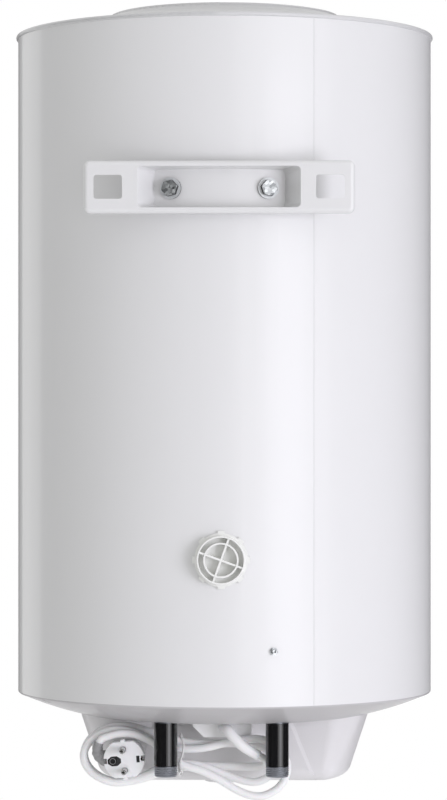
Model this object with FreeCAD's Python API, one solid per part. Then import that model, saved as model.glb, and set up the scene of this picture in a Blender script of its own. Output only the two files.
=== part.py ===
import FreeCAD, Part
import math
import os

from FreeCAD import Rotation, Vector

# Wall-hung storage water heater, seen from its wall side. Millimetres, +Z up, +Y towards the wall.
# The origin lies on the wall plane, midway between the two hook windows of the wall bracket.

# Body: a round painted casing round a foamed steel tank
SHELL_R = 192.5
SHELL_T = 0.6
SHELL_TOP = 150.7
SHELL_TALL = 604.2
WALL_STANDOFF = 18.0
SEAM_ANGLE = 25.5
SEAM_R = 0.75
SEAM_PROUD = 0.4

# Lid: a shallow cone with a raised disc and a bead rolled over the casing's rim
LID_T = 1.2
LID_BEAD_PROUD = 1.8
LID_BEAD_TALL = 4.0
LID_SKIRT = 12.0
LID_CONE_WIDE = 80.5
LID_CONE_RISE = 18.0
LID_STEP_IN = 5.0
LID_STEP_RISE = 5.3
LID_SOFT = 2.0
LID_GROOVE_IN = 2.5
LID_GROOVE_DEEP = 1.2
LID_CROWN = 1.5

# Pan: the dished underside, flat in the middle
PAN_T = 1.2
PAN_SKIRT = 15.0
PAN_LIP_R = 2.0
PAN_DISH_WIDE = 60.0
PAN_DROP = 20.5
PAN_BULGE = 1.6
PAN_HOLE_GAP = 1.5

# Tank
FOAM_T = 26.0
TANK_T = 1.8
TANK_TOP_GAP = 42.7
TANK_FOOT_GAP = 66.0
TANK_DOME = 42.0
TANK_KNUCKLE = 30.0
FOAM_GAP = 0.3
FOAM_TOP_DROP = 2.2
FOAM_EDGE_GAP = 1.0

# Flange at the tank's foot, with what it carries
NECK_R = 38.0
NECK_BORE_R = 34.0
NECK_INSIDE = 6.0
FLANGE_R = 54.0
FLANGE_RING_RISE = 6.0
FLANGE_RING_T = 8.0
GASKET_T = 3.0
GASKET_R = 41.0
FLANGE_PLATE_T = 5.0
FLANGE_BOLTS = 5
FLANGE_BOLT_CIRCLE_R = 46.0
FLANGE_BOLT_START = 54.0
FLANGE_BOLT_R = 4.0
FLANGE_BOLT_AF = 13.0
FLANGE_BOLT_HEAD = 5.3
ELEMENT_R = 4.25
ELEMENT_LEG_X = -18.0
ELEMENT_LEG_Y = 6.0
ELEMENT_BEND_R = 16.0
ELEMENT_RISE = 280.0
ELEMENT_PIN_R = 2.0
ELEMENT_PIN_DROP = 12.0
WELL_Y = -24.0
WELL_R = 5.0
WELL_BORE_R = 4.0
WELL_RISE = 300.0
ANODE_X = 21.0
ANODE_Y = 8.0
ANODE_R = 10.5
ANODE_STUD_R = 3.0
ANODE_STUD_GAP = 12.0
ANODE_LENGTH = 230.0
ANODE_NUT_AF = 10.0
ANODE_NUT_T = 5.0

# Thermostat with its knob under the cover and its reset button
THERMOSTAT_Y = -20.0
THERMOSTAT_WIDE = 27.0
THERMOSTAT_DEEP = 34.0
THERMOSTAT_TALL = 24.0
THERMOSTAT_EDGE = 2.5
SENSOR_R = 3.5
SENSOR_LENGTH = 260.0
SPINDLE_R = 3.0
SPINDLE_Y = -14.0
SPINDLE_SOCKET = 8.0
RUN_CLEARANCE = 0.05
KNOB_R = 19.0
KNOB_TALL = 8.0
KNOB_GAP = 0.5
KNOB_GRIPS = 18
KNOB_GRIP_R = 1.4
KNOB_WEB = 2.0
KNOB_EDGE = 1.5
KNOB_GRIP_OUT = 0.4
KNOB_RIM_WALL = 3.0
KNOB_HUB_WALL = 2.5
POINTER_HALF = 1.2
POINTER_IN = 2.0
POINTER_TAIL = 6.0
POINTER_PROUD = 1.0
BUTTON_X = 7.0
BUTTON_Y = -28.0
BUTTON_R = 2.5
BUTTON_PROUD = 3.0
BUTTON_TRAVEL = 1.5
BUTTON_SUNK = 4.0
BUTTON_EDGE = 0.6
COLLAR_WALL = 1.5
COLLAR_TALL = 2.0

# Lamp, terminal block and wiring inside the cover
LAMP_X = 34.0
LAMP_Y = -14.0
LAMP_LENS_R = 4.5
LAMP_RIM_R = 6.0
LAMP_RIM_T = 1.5
LAMP_DOME = 2.0
LAMP_BODY_TALL = 14.0
BLOCK_X = -74.0
BLOCK_Y = 20.0
BLOCK_WIDE = 20.0
BLOCK_DEEP = 36.0
BLOCK_TALL = 14.0
BLOCK_SCREWS = 3
BLOCK_SCREW_R = 2.6
BLOCK_SCREW_DEEP = 5.0
BLOCK_SCREW_IN = 2.0
BLOCK_WIRE_DEEP = 5.0
BLOCK_WIRE_UP = 4.0
BLOCK_GAP = 1.2
BLOCK_GAP_DEEP = 3.0
WIRE_R = 1.5
EARTH_X = 44.7
EARTH_Y = 14.5
WIRE_OUT = 13.0
WIRE_CASE_UP = 10.0
CASE_ENTRY = 5.5
LIVE_RUN = 14.0
LIVE_ASIDE = 17.0
NEUTRAL_RUN = 16.0
PIN_APPROACH = 8.0
EARTH_APPROACH = 13.0
EARTH_WIRE_BENDS = ((18.0, 2.5, 14.0), (51.0, 4.5, 18.0), (80.7, -1.5, 17.0))

# Water pipes, G 1/2 ends
PIPE_X = 50.0
PIPE_Y = 118.0
PIPE_R = 10.48
PIPE_SHANK_R = 9.6
PIPE_BORE_R = 8.0
PIPE_DROP = 48.3
PIPE_THREAD = 9.0
PIPE_CHAMFER = 1.0
PIPE_INSIDE = 18.0
SLEEVE_R = 10.4
SLEEVE_DROP = 38.8
SLEEVE_EDGE = 0.5
RISER_R = 6.0
RISER_BORE_R = 5.0
RISER_TOP_GAP = 40.0
RISER_COLLAR = 14.0
DIFFUSER_R = 15.0
DIFFUSER_T = 2.0
DIFFUSER_TALL = 16.0
DIFFUSER_SLOTS = 6
DIFFUSER_SLOT = 5.0
DIFFUSER_LAP = 6.0
DIFFUSER_SEAT = 0.2
DIFFUSER_SLOT_IN = 4.0

# Bottom cover: a tapered tub with a flat back, and a flared bay for the pipes and the cord
COVER_TOP_R = 134.5
COVER_BOTTOM_R = 115.0
COVER_T = 2.5
COVER_TALL = 58.8
COVER_EDGE = 12.5
COVER_BACK_Y = 64.5
COVER_CORNER_TOP = 31.0
COVER_CORNER_FOOT = 15.0
PAD_TOP_HALF = 62.0
PAD_BOTTOM_HALF = 86.0
PAD_PROUD = 2.0
PAD_SLOPE = 3.5
PAD_ROOT = 30.0
COVER_SCREW_SPOTS = ((-98.0, -22.0), (98.0, -22.0), (0.0, -104.0))
WELL_WALL = 2.0
WELL_RIM = 1.0
SCREW_HEAD_GAP = 0.3
SPINDLE_HOLE_GAP = 1.0
SCREW_R = 2.0
SCREW_HEAD_R = 4.0
SCREW_HEAD_T = 2.4
SCREW_SEAT = 3.0
SCREW_BITE = 6.0

# Cable outlet with the moulded strain relief
OUTLET_HALF = 26.5
OUTLET_DROP = 15.4
OUTLET_FRONT_Y = 95.5
OUTLET_CORNER = 4.0
OUTLET_NOTCH = 10.0
RELIEF_R = 5.0
RELIEF_COLLAR_R = 5.7
RELIEF_COLLAR_T = 2.5
RELIEF_PLACES = (
    (-1.0, 95.5, 6.5),
    (-4.5, 109.0, 6.5),
    (-10.0, 112.0, 13.0),
    (-21.0, 112.0, 24.0),
    (-32.0, 109.0, 29.8),
)

# Mains cord: lead, hank and tail, 7.2 mm thick. Its places, and the strain relief's, are given
# across, from the casing's axis towards the wall, and down from the pan's flat.
CORD_R = 3.6
LAYER_BACK_Y = 84.5
LAYER_STEP = 8.0
LEAD_STRAIGHT = 1.7
LEAD_PLACES = (
    (-41.5, 96.5, 39.0),
    (-34.5, 87.5, 42.5),
    (-19.0, 84.5, 43.5),
)
WAIST_X = 37.0
WAIST_DROP = 32.2
WAIST_HALF = 9.0
WAIST_HALF_STEP = -8.5
HANK_LOOPS = 2
LOBE_CORNERS = 5
LEFT_X = 87.0
LEFT_DROP = 33.0
LEFT_HALF_X = 38.5
LEFT_HALF_Z = 25.0
LEFT_BACK_LIFT = 2.5
RIGHT_X = -23.0
RIGHT_X_STEP = -4.0
RIGHT_DROP = 39.5
RIGHT_DROP_STEP = 2.8
RIGHT_HALF_X = 25.0
RIGHT_HALF_X_STEP = 7.0
RIGHT_HALF_Z = 17.5
RIGHT_HALF_Z_STEP = 9.2
TAIL_PLACES = (
    (14.0, 100.5, 45.5),
    (38.0, 100.5, 40.0),
    (61.0, 100.5, 19.5),
    (78.5, 100.5, 12.0),
    (92.5, 100.5, 11.4),
    (103.5, 100.5, 14.4),
)
CORD_INSIDE_PLACES = (
    (-1.0, 48.0, 6.5),
    (-9.0, 44.5, 11.0),
    (-28.0, 47.5, 12.5),
    (-52.0, 52.5, 12.0),
)
BLOCK_APPROACH = 12.2
BLOCK_ENTRY_DROP = 8.0

# Plug: two round pins, earth hole and side clips, with an angled grip
PLUG_X = 88.0
PLUG_DROP = 34.4
PLUG_R = 18.5
PLUG_FLAT = 16.2
PLUG_FACE_Y = 111.0
PLUG_DEEP = 28.5
PLUG_EDGE = 2.5
PLUG_TILT = 5.0
PIN_R = 2.4
PIN_LENGTH = 19.0
PIN_SPACING = 19.0
PIN_ROOT = 6.0
PIN_TIP = 1.4
EARTH_HOLE_R = 2.4
EARTH_HOLE_OFFSET = 8.5
EARTH_HOLE_DEEP = 15.0
CLIP_WIDE = 5.0
CLIP_DEEP = 3.0
CLIP_T = 0.8
CLIP_LENGTH = 12.0
CLIP_SIDE_GAP = 0.5
GRIP_END_X = 112.5
GRIP_END_DROP = 25.5
GRIP_START_X = 100.5
GRIP_START_BACK = 4.0
GRIP_BOW_OUT = 3.0
GRIP_BOW_DOWN = 2.0
GRIP_SECTIONS = 4
GRIP_END_R = 4.6
GRIP_START_R = 8.0
GRIP_RISE = 103.0
GRIP_APPROACH = 8.5

# Twist tie round the hank's waist
TIE_R = 0.8
TIE_X = 36.0
TIE_GAP = 0.3
TIE_CORNER = 5.0
TIE_TAIL = 9.0
TIE_SPREAD = 3.0
TIE_TURN_OUT = 1.0

# Wall bracket, pressed from sheet, with its bolts
BRACKET_HALF_X = 118.0
BRACKET_HALF_Z = 23.0
BRACKET_T = 2.5
BRACKET_FLANGE = 12.0
BRACKET_CORNER = 6.0
BRACKET_EDGE = 4.0
RECESS_TOP_X = 71.0
RECESS_FLOOR_X = 57.5
RECESS_TOP_Z = 18.0
RECESS_FLOOR_Z = 16.0
RECESS_DEEP = 24.0
RECESS_CORNER = 4.0
WINDOW_X = 96.6
WINDOW_WIDE = 24.9
WINDOW_TALL = 20.8
WINDOW_CORNER = 2.5
BOLT_ANGLE = 12.6
BOLT_R = 4.0
BOLT_AF = 13.0
BOLT_HEAD = 5.3
BOLT_CHAMFER = 0.8
BOLT_LENGTH = 26.0
WASHER_R = 9.4
WASHER_T = 1.8
POST_R = 9.0
POST_SUNK = 4.0

# Foaming plug and the small screw on the rear
PLUG_PORT_X = -1.5
PLUG_PORT_RISE = 128.9
PORT_RING_R = 21.3
PORT_INNER_R = 15.4
PORT_WALL = 1.5
PORT_FLANGE_R = 23.5
PORT_LUG_REACH = 1.8
PORT_LUG_WIDE = 6.0
PORT_LUGS = 8
PORT_FLANGE_T = 2.2
PORT_PROUD = 11.0
PORT_CHANNEL_DEEP = 8.0
PORT_CELL_DEEP = 9.5
PORT_RIB = 1.75
PORT_RIB_SUNK = 0.8
PORT_RIB_TURN = 20.0
PORT_STUB_R = 17.5
PORT_STUB = 8.0
PORT_SEAT = 4.0
PORT_RIM_EDGE = 0.6
SHELL_SCREW_ANGLE = 14.2
SHELL_SCREW_RISE = 48.5
SHELL_SCREW_R = 1.9
SHELL_SCREW_DISC_R = 3.6
SHELL_SCREW_DISC_T = 1.0
SHELL_SCREW_HEAD_R = 2.2
SHELL_SCREW_HEAD = 4.5
SHELL_SCREW_SOCKET_R = 1.1
SHELL_SCREW_SOCKET = 2.0
SHELL_SCREW_BITE = 8.0

# Places that follow from the sizes
AXIS_Y = -WALL_STANDOFF - SHELL_R
SHELL_BOTTOM = SHELL_TOP - SHELL_TALL
PLUG_PORT_Z = SHELL_BOTTOM + PLUG_PORT_RISE
SHELL_SCREW_Z = SHELL_BOTTOM + SHELL_SCREW_RISE
LID_STEP_R = SHELL_R - LID_CONE_WIDE
LID_STEP_Z = SHELL_TOP + LID_CONE_RISE
LID_DISC_R = LID_STEP_R - LID_STEP_IN
LID_DISC_Z = LID_STEP_Z + LID_STEP_RISE
PAN_FLAT_R = SHELL_R - PAN_DISH_WIDE
PAN_FLAT_Z = SHELL_BOTTOM - PAN_DROP
TANK_R = SHELL_R - FOAM_T
TANK_TOP = SHELL_TOP - TANK_TOP_GAP
TANK_BOTTOM = PAN_FLAT_Z + TANK_FOOT_GAP
FLANGE_RING_BOTTOM = PAN_FLAT_Z + FLANGE_RING_RISE
FLANGE_RING_TOP = FLANGE_RING_BOTTOM + FLANGE_RING_T
FLANGE_PLATE_TOP = FLANGE_RING_BOTTOM - GASKET_T
FLANGE_PLATE_BOTTOM = FLANGE_PLATE_TOP - FLANGE_PLATE_T
THERMOSTAT_BOTTOM = FLANGE_PLATE_BOTTOM - THERMOSTAT_TALL
PIPE_ROW_Y = AXIS_Y + PIPE_Y
PIPE_BOTTOM = PAN_FLAT_Z - PIPE_DROP
SLEEVE_BOTTOM = PAN_FLAT_Z - SLEEVE_DROP
COVER_BACK = AXIS_Y + COVER_BACK_Y
COVER_BOTTOM = PAN_FLAT_Z - COVER_TALL
COVER_FLOOR = COVER_BOTTOM + COVER_T
PAD_BACK = COVER_BACK + PAD_PROUD
OUTLET_FRONT = AXIS_Y + OUTLET_FRONT_Y
LAYER_BACK = AXIS_Y + LAYER_BACK_Y
WAIST_Z = PAN_FLAT_Z - WAIST_DROP
LEFT_Z = PAN_FLAT_Z - LEFT_DROP
RIGHT_Z = PAN_FLAT_Z - RIGHT_DROP
PLUG_Z = PAN_FLAT_Z - PLUG_DROP
PLUG_FACE = AXIS_Y + PLUG_FACE_Y
PLUG_BACK = PLUG_FACE - PLUG_DEEP
GRIP_END_Z = PAN_FLAT_Z - GRIP_END_DROP


def under_pan(places):
    """Places given across, from the axis and below the pan's flat, as points."""
    return tuple((x, AXIS_Y + y, PAN_FLAT_Z - z) for x, y, z in places)


RELIEF_ROUTE = under_pan(RELIEF_PLACES)
LEAD_ROUTE = under_pan(LEAD_PLACES)
TAIL_ROUTE = under_pan(TAIL_PLACES)
CORD_INSIDE_ROUTE = under_pan(CORD_INSIDE_PLACES)


def box(x_low, x_high, y_low, y_high, z_low, z_high):
    """A box between two corners."""
    size = (x_high - x_low, y_high - y_low, z_high - z_low)
    return Part.makeBox(*size, Vector(x_low, y_low, z_low))


def rod(radius, start, end):
    """A round bar from one point to another."""
    start = Vector(*start)
    run = Vector(*end) - start
    return Part.makeCylinder(radius, run.Length, start, run)


def pipe(radius, bore, start, end):
    """A straight pipe from one point to another."""
    return rod(radius, start, end).cut(rod(bore, start, end))


def hex_bar(across_flats, start, end):
    """A six-sided bar from one point to another, with flats across_flats apart."""
    start = Vector(*start)
    run = Vector(*end) - start
    corner = across_flats / math.sqrt(3.0)
    turns = [math.radians(60.0 * i) for i in range(7)]
    ring = Part.makePolygon([Vector(corner * math.cos(a), corner * math.sin(a), 0) for a in turns])
    bar = Part.Face(ring).extrude(Vector(0, 0, run.Length))
    bar.Placement = FreeCAD.Placement(start, Rotation(Vector(0, 0, 1), run))
    return bar


def outline(points):
    """A closed wire in the X-Z plane; a point written as a pair of points is an arc's middle and end."""
    edges = []
    first = last = Vector(points[0][0], 0, points[0][1])
    for point in points[1:]:
        if isinstance(point[0], tuple):
            middle = Vector(point[0][0], 0, point[0][1])
            end = Vector(point[1][0], 0, point[1][1])
            edges.append(Part.Arc(last, middle, end).toShape())
        else:
            end = Vector(point[0], 0, point[1])
            edges.append(Part.makeLine(last, end))
        last = end
    if last.distanceToPoint(first) > 1e-6:
        edges.append(Part.makeLine(last, first))
    return Part.Wire(edges)


def turned(points, x=0.0, y=AXIS_Y):
    """A solid of revolution about an upright axis, from its half section."""
    solid = Part.Face(outline(points)).revolve(Vector(0, 0, 0), Vector(0, 0, 1), 360)
    solid.translate(Vector(x, y, 0))
    return solid


def rounded_plate(half_x, half_z, corner, y_low, y_high):
    """An upright plate with rounded corners."""
    plate = box(-half_x, half_x, y_low, y_high, -half_z, half_z)
    edges = [e for e in plate.Edges if abs(e.tangentAt(e.FirstParameter).y) > 0.99]
    return plate.makeFillet(corner, edges)


def rounded_rectangle(half_x, half_z, corner, y):
    """A closed wire with rounded corners in an upright plane."""
    plate = rounded_plate(half_x, half_z, corner, y, y + 1.0)
    faces = [f for f in plate.Faces if f.CenterOfMass.y < y + 1e-6]
    return faces[0].OuterWire


def arc_radius(before, corner, after):
    """The radius of the arc that rounds a corner of a route, and the length it takes off each run."""
    inward = before - corner
    outward = after - corner
    half_turn = (math.pi - inward.getAngle(outward)) / 2.0
    trim = 0.45 * min(inward.Length, outward.Length)
    return trim / math.tan(half_turn), trim


def rounded_route(name, points):
    """Straight runs joined by tangent arcs, as one wire; prints the tightest arc."""
    points = [Vector(*p) for p in points]
    edges = []
    radii = []
    last = points[0]
    for before, corner, after in zip(points, points[1:], points[2:]):
        radius, trim = arc_radius(before, corner, after)
        radii.append(radius)
        start = corner + (before - corner).normalize() * trim
        end = corner + (after - corner).normalize() * trim
        towards = ((start + end) * 0.5 - corner).normalize()
        reach = math.hypot(radius, trim) - radius
        edges.append(Part.makeLine(last, start))
        edges.append(Part.Arc(start, corner + towards * reach, end).toShape())
        last = end
    edges.append(Part.makeLine(last, points[-1]))
    wire = Part.Wire(edges)
    print(f"{name}: length {wire.Length:.1f}, arc radii {min(radii):.1f} to {max(radii):.1f}")
    return wire


def tube(name, points, radius):
    """A round tube along a route, with its volume compared with section times length."""
    wire = rounded_route(name, points)
    start = Vector(*points[0])
    way = Vector(*points[1]) - start
    section = Part.Wire(Part.Circle(start, way, radius).toShape())
    shell = Part.BRepOffsetAPI.MakePipeShell(wire)
    shell.add(section)
    shell.build()
    shell.makeSolid()
    solid = shell.shape()
    expected = math.pi * radius**2 * wire.Length
    print(f"{name}: volume {solid.Volume:.0f} of {expected:.0f}, valid {solid.isValid()}")
    return solid


def least_self_gap(name, wire, diameter):
    """Prints the least distance between parts of a tube's own surface that aren't neighbours."""
    count = int(wire.Length / 2.0)
    points = wire.discretize(count)
    skip = int(4.0 * diameter / 2.0)
    gaps = [
        points[i].distanceToPoint(points[j])
        for i in range(0, count, 2)
        for j in range(i + skip, count, 1)
    ]
    print(f"{name}: least gap to itself {min(gaps) - diameter:.2f}")


def fused(parts):
    """One solid from touching solids."""
    return parts[0].multiFuse(parts[1:]).removeSplitter()


def around(count, radius, start=0.0, x=0.0, y=AXIS_Y):
    """Points on a level circle."""
    turns = [math.radians(start + 360.0 * i / count) for i in range(count)]
    return [(x + radius * math.cos(a), y + radius * math.sin(a)) for a in turns]


def rear_point(angle, radius=SHELL_R):
    """The place on the casing's rear, angle degrees from its rear line towards -X."""
    turn = math.radians(angle)
    return -radius * math.sin(turn), AXIS_Y + radius * math.cos(turn)


def casing_solid(radius):
    """A full cylinder of the casing's height, to cut or seat pieces on."""
    return rod(radius, (0, AXIS_Y, SHELL_BOTTOM), (0, AXIS_Y, SHELL_TOP))


def outer_shell():
    """The painted sheet casing with its upright seam bead and the holes in its rear."""
    x, y = rear_point(SEAM_ANGLE, SHELL_R + SEAM_PROUD - SEAM_R)
    bead = rod(SEAM_R, (x, y, SHELL_BOTTOM), (x, y, SHELL_TOP))
    shell = fused([casing_solid(SHELL_R), bead]).cut(casing_solid(SHELL_R - SHELL_T))
    cuts = [port_stub(FOAM_GAP)] + [post(angle, FOAM_GAP) for angle in bolt_angles()]
    cuts.append(shell_screw_shank())
    return shell.cut(Part.makeCompound(cuts))


def top_lid():
    """The lid: skirt inside the casing, rolled bead over its rim, cone and raised disc."""
    skirt_r = SHELL_R - SHELL_T
    bead_r = SHELL_R + LID_BEAD_PROUD
    bead_top = SHELL_TOP + LID_BEAD_TALL
    bead_middle = SHELL_TOP + LID_BEAD_TALL / 2
    inner_step = LID_STEP_Z - LID_T
    inner_disc = LID_DISC_Z - LID_T
    section = [
        (0, LID_DISC_Z + LID_CROWN),
        ((LID_DISC_R / 2, LID_DISC_Z + 0.72 * LID_CROWN), (LID_DISC_R - LID_SOFT, LID_DISC_Z)),
        ((LID_DISC_R - 0.2 * LID_SOFT, LID_DISC_Z - 0.27 * LID_SOFT), (LID_DISC_R, LID_DISC_Z - LID_SOFT)),
        (LID_STEP_R, LID_STEP_Z),
        (SHELL_R - LID_GROOVE_IN, bead_top - LID_GROOVE_DEEP),
        (SHELL_R - 0.4 * LID_GROOVE_IN, bead_top),
        ((bead_r, bead_middle), (SHELL_R, SHELL_TOP)),
        (skirt_r, SHELL_TOP),
        (skirt_r, SHELL_TOP - LID_SKIRT),
        (skirt_r - LID_T, SHELL_TOP - LID_SKIRT),
        (skirt_r - LID_T, SHELL_TOP + LID_BEAD_TALL / 4),
        (LID_STEP_R - LID_T, inner_step),
        (LID_DISC_R - LID_T, inner_disc - LID_SOFT + LID_T),
        (LID_DISC_R - LID_T - LID_SOFT, inner_disc),
        (0, inner_disc + LID_CROWN / 2),
    ]
    return turned(section)


def bottom_pan():
    """The pan: skirt inside the casing, rounded lip under its edge, dish and flat middle."""
    skirt_r = SHELL_R - SHELL_T
    lip_in = SHELL_R - PAN_LIP_R
    lip_z = SHELL_BOTTOM - PAN_LIP_R
    slope_r = (lip_in + PAN_FLAT_R) / 2
    slope_z = (lip_z + PAN_FLAT_Z) / 2 - PAN_BULGE
    hole_r = FLANGE_R + PAN_HOLE_GAP
    section = [
        (hole_r, PAN_FLAT_Z),
        (PAN_FLAT_R, PAN_FLAT_Z),
        ((slope_r, slope_z), (lip_in, lip_z)),
        ((SHELL_R - 0.29 * PAN_LIP_R, SHELL_BOTTOM - 0.71 * PAN_LIP_R), (SHELL_R, SHELL_BOTTOM)),
        (skirt_r, SHELL_BOTTOM),
        (skirt_r, SHELL_BOTTOM + PAN_SKIRT),
        (skirt_r - PAN_T, SHELL_BOTTOM + PAN_SKIRT),
        (skirt_r - PAN_T, SHELL_BOTTOM),
        (lip_in, lip_z + PAN_T),
        ((slope_r, slope_z + PAN_T), (PAN_FLAT_R, PAN_FLAT_Z + PAN_T)),
        (hole_r, PAN_FLAT_Z + PAN_T),
    ]
    cuts = [pipe_rod(side, PIPE_SHANK_R) for side in (1, -1)]
    cuts += [screw_shank(spot) for spot in screw_spots()]
    return turned(section).cut(Part.makeCompound(cuts))


def dome_turn(radius, dome, knuckle):
    """Crown radius of a dished end and the angle at which its knuckle begins."""
    flat = radius - knuckle
    crown = (flat**2 + dome**2 - knuckle**2) / (2.0 * (dome - knuckle))
    return crown, math.atan2(flat, crown - dome)


def tank_section(inset):
    """Half section of the tank with dished ends, inset from its outer face."""
    radius = TANK_R - inset
    dome = TANK_DOME - inset
    knuckle = TANK_KNUCKLE - inset
    crown, turn = dome_turn(radius, dome, knuckle)

    def on_crown(angle):
        return crown * math.sin(angle), dome - crown + crown * math.cos(angle)

    def on_knuckle(angle):
        return radius - knuckle + knuckle * math.sin(angle), knuckle * math.cos(angle)

    crown_middle = on_crown(turn / 2)
    joint = on_crown(turn)
    knuckle_middle = on_knuckle((turn + math.pi / 2) / 2)

    def low(point):
        return point[0], TANK_BOTTOM - point[1]

    def high(point):
        return point[0], TANK_TOP + point[1]

    return [
        (0, TANK_BOTTOM - dome),
        (low(crown_middle), low(joint)),
        (low(knuckle_middle), (radius, TANK_BOTTOM)),
        (radius, TANK_TOP),
        (high(knuckle_middle), high(joint)),
        (high(crown_middle), (0, TANK_TOP + dome)),
    ]


def tank_solid():
    """The tank's full outer shape."""
    return turned(tank_section(0.0))


def tank_space():
    """The water space in the tank."""
    return turned(tank_section(TANK_T))


def inner_tank():
    """The steel tank, holed for its neck and its two pipes."""
    cuts = [tank_space(), rod(NECK_R, (0, AXIS_Y, FLANGE_RING_BOTTOM), (0, AXIS_Y, TANK_BOTTOM))]
    cuts += [pipe_rod(side, PIPE_SHANK_R) for side in (1, -1)]
    return tank_solid().cut(Part.makeCompound(cuts))


def foam_insulation():
    """The foam between tank and casing, cut round all that passes through it."""
    out_r = SHELL_R - SHELL_T - FOAM_GAP
    skirt_r = SHELL_R - SHELL_T - PAN_T - FOAM_GAP
    lid_skirt_r = SHELL_R - SHELL_T - LID_T - FOAM_GAP
    skirt_top = SHELL_BOTTOM + PAN_SKIRT + FOAM_EDGE_GAP
    skirt_foot = SHELL_TOP - LID_SKIRT - FOAM_EDGE_GAP
    pan_top = PAN_FLAT_Z + PAN_T + FOAM_GAP
    hole_r = FLANGE_R + PAN_HOLE_GAP
    section = [
        (hole_r, pan_top),
        (PAN_FLAT_R, pan_top),
        (skirt_r, SHELL_BOTTOM + 2 * FOAM_EDGE_GAP),
        (skirt_r, skirt_top),
        (out_r, skirt_top),
        (out_r, skirt_foot),
        (lid_skirt_r, skirt_foot),
        (lid_skirt_r, SHELL_TOP - 2 * FOAM_EDGE_GAP),
        (LID_STEP_R, LID_STEP_Z - LID_T - FOAM_TOP_DROP),
        (0, LID_STEP_Z - LID_T - FOAM_TOP_DROP),
        (0, TANK_TOP),
        (hole_r, TANK_BOTTOM),
    ]
    cuts = [tank_solid(), port_stub(FOAM_GAP), shell_screw_shank()]
    cuts += [post(angle, 0.0) for angle in bolt_angles()]
    cuts += [pipe_rod(side, PIPE_SHANK_R) for side in (1, -1)]
    cuts += [screw_shank(spot) for spot in screw_spots()]
    return turned(section).cut(Part.makeCompound(cuts))


def flange_spots():
    """Where the flange bolts stand."""
    return around(FLANGE_BOLTS, FLANGE_BOLT_CIRCLE_R, FLANGE_BOLT_START)


def tank_flange_ring():
    """The neck and bolting ring welded into the tank's foot."""
    neck_top = TANK_BOTTOM - TANK_DOME + NECK_INSIDE
    ring = turned(
        [
            (NECK_BORE_R, FLANGE_RING_BOTTOM),
            (FLANGE_R, FLANGE_RING_BOTTOM),
            (FLANGE_R, FLANGE_RING_TOP),
            (NECK_R, FLANGE_RING_TOP),
            (NECK_R, neck_top),
            (NECK_BORE_R, neck_top),
        ]
    )
    holes = [
        rod(FLANGE_BOLT_R, (x, y, FLANGE_RING_BOTTOM), (x, y, FLANGE_RING_TOP)) for x, y in flange_spots()
    ]
    return ring.cut(Part.makeCompound(holes))


def flange_gasket():
    """The rubber seal between ring and plate."""
    bottom = (0, AXIS_Y, FLANGE_PLATE_TOP)
    return pipe(GASKET_R, NECK_BORE_R, bottom, (0, AXIS_Y, FLANGE_RING_BOTTOM))


def flange_plate():
    """The steel plate that closes the neck and carries the inner parts."""
    low = FLANGE_PLATE_BOTTOM
    high = FLANGE_PLATE_TOP
    plate = rod(FLANGE_R, (0, AXIS_Y, low), (0, AXIS_Y, high))
    holes = [rod(FLANGE_BOLT_R, (x, y, low), (x, y, high)) for x, y in flange_spots()]
    holes += [rod(ELEMENT_R, (x, y, low), (x, y, high)) for x, y in element_legs()]
    holes.append(rod(WELL_R, (0, AXIS_Y + WELL_Y, low), (0, AXIS_Y + WELL_Y, high)))
    holes.append(rod(ANODE_STUD_R, (ANODE_X, AXIS_Y + ANODE_Y, low), (ANODE_X, AXIS_Y + ANODE_Y, high)))
    holes.append(rod(SCREW_R, (EARTH_X, AXIS_Y + EARTH_Y, low), (EARTH_X, AXIS_Y + EARTH_Y, high)))
    return plate.cut(Part.makeCompound(holes))


def flange_bolts():
    """The bolts that clamp the plate to the ring."""
    bolts = []
    for x, y in flange_spots():
        head_low = FLANGE_PLATE_BOTTOM - FLANGE_BOLT_HEAD
        head = hex_bar(FLANGE_BOLT_AF, (x, y, head_low), (x, y, FLANGE_PLATE_BOTTOM))
        shank = rod(FLANGE_BOLT_R, (x, y, FLANGE_PLATE_BOTTOM), (x, y, FLANGE_RING_TOP))
        bolts.append(head.fuse(shank))
    return Part.makeCompound(bolts)


def element_legs():
    """Where the heating element's two legs pass through the plate."""
    middle = AXIS_Y + ELEMENT_LEG_Y
    return [(ELEMENT_LEG_X, middle - ELEMENT_BEND_R), (ELEMENT_LEG_X, middle + ELEMENT_BEND_R)]


def heating_element():
    """A hairpin of sheathed tube with its two terminal pins."""
    low = FLANGE_PLATE_BOTTOM
    high = FLANGE_PLATE_TOP + ELEMENT_RISE
    (x, y_front), (_, y_rear) = element_legs()
    middle = AXIS_Y + ELEMENT_LEG_Y
    path = Part.Wire(
        [
            Part.makeLine(Vector(x, y_front, low), Vector(x, y_front, high)),
            Part.Arc(
                Vector(x, y_front, high),
                Vector(x, middle, high + ELEMENT_BEND_R),
                Vector(x, y_rear, high),
            ).toShape(),
            Part.makeLine(Vector(x, y_rear, high), Vector(x, y_rear, low)),
        ]
    )
    section = Part.Wire(Part.Circle(Vector(x, y_front, low), Vector(0, 0, 1), ELEMENT_R).toShape())
    hairpin = path.makePipeShell([section], True, False)
    pins = [rod(ELEMENT_PIN_R, (x, y, low - ELEMENT_PIN_DROP), (x, y, low)) for x, y in element_legs()]
    return fused([hairpin] + pins)


def thermowell():
    """The blind pocket for the temperature sensor."""
    y = AXIS_Y + WELL_Y
    top = FLANGE_PLATE_TOP + WELL_RISE
    outside = rod(WELL_R, (0, y, FLANGE_PLATE_BOTTOM), (0, y, top))
    return outside.cut(rod(WELL_BORE_R, (0, y, FLANGE_PLATE_BOTTOM), (0, y, top - WELL_R)))


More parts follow.
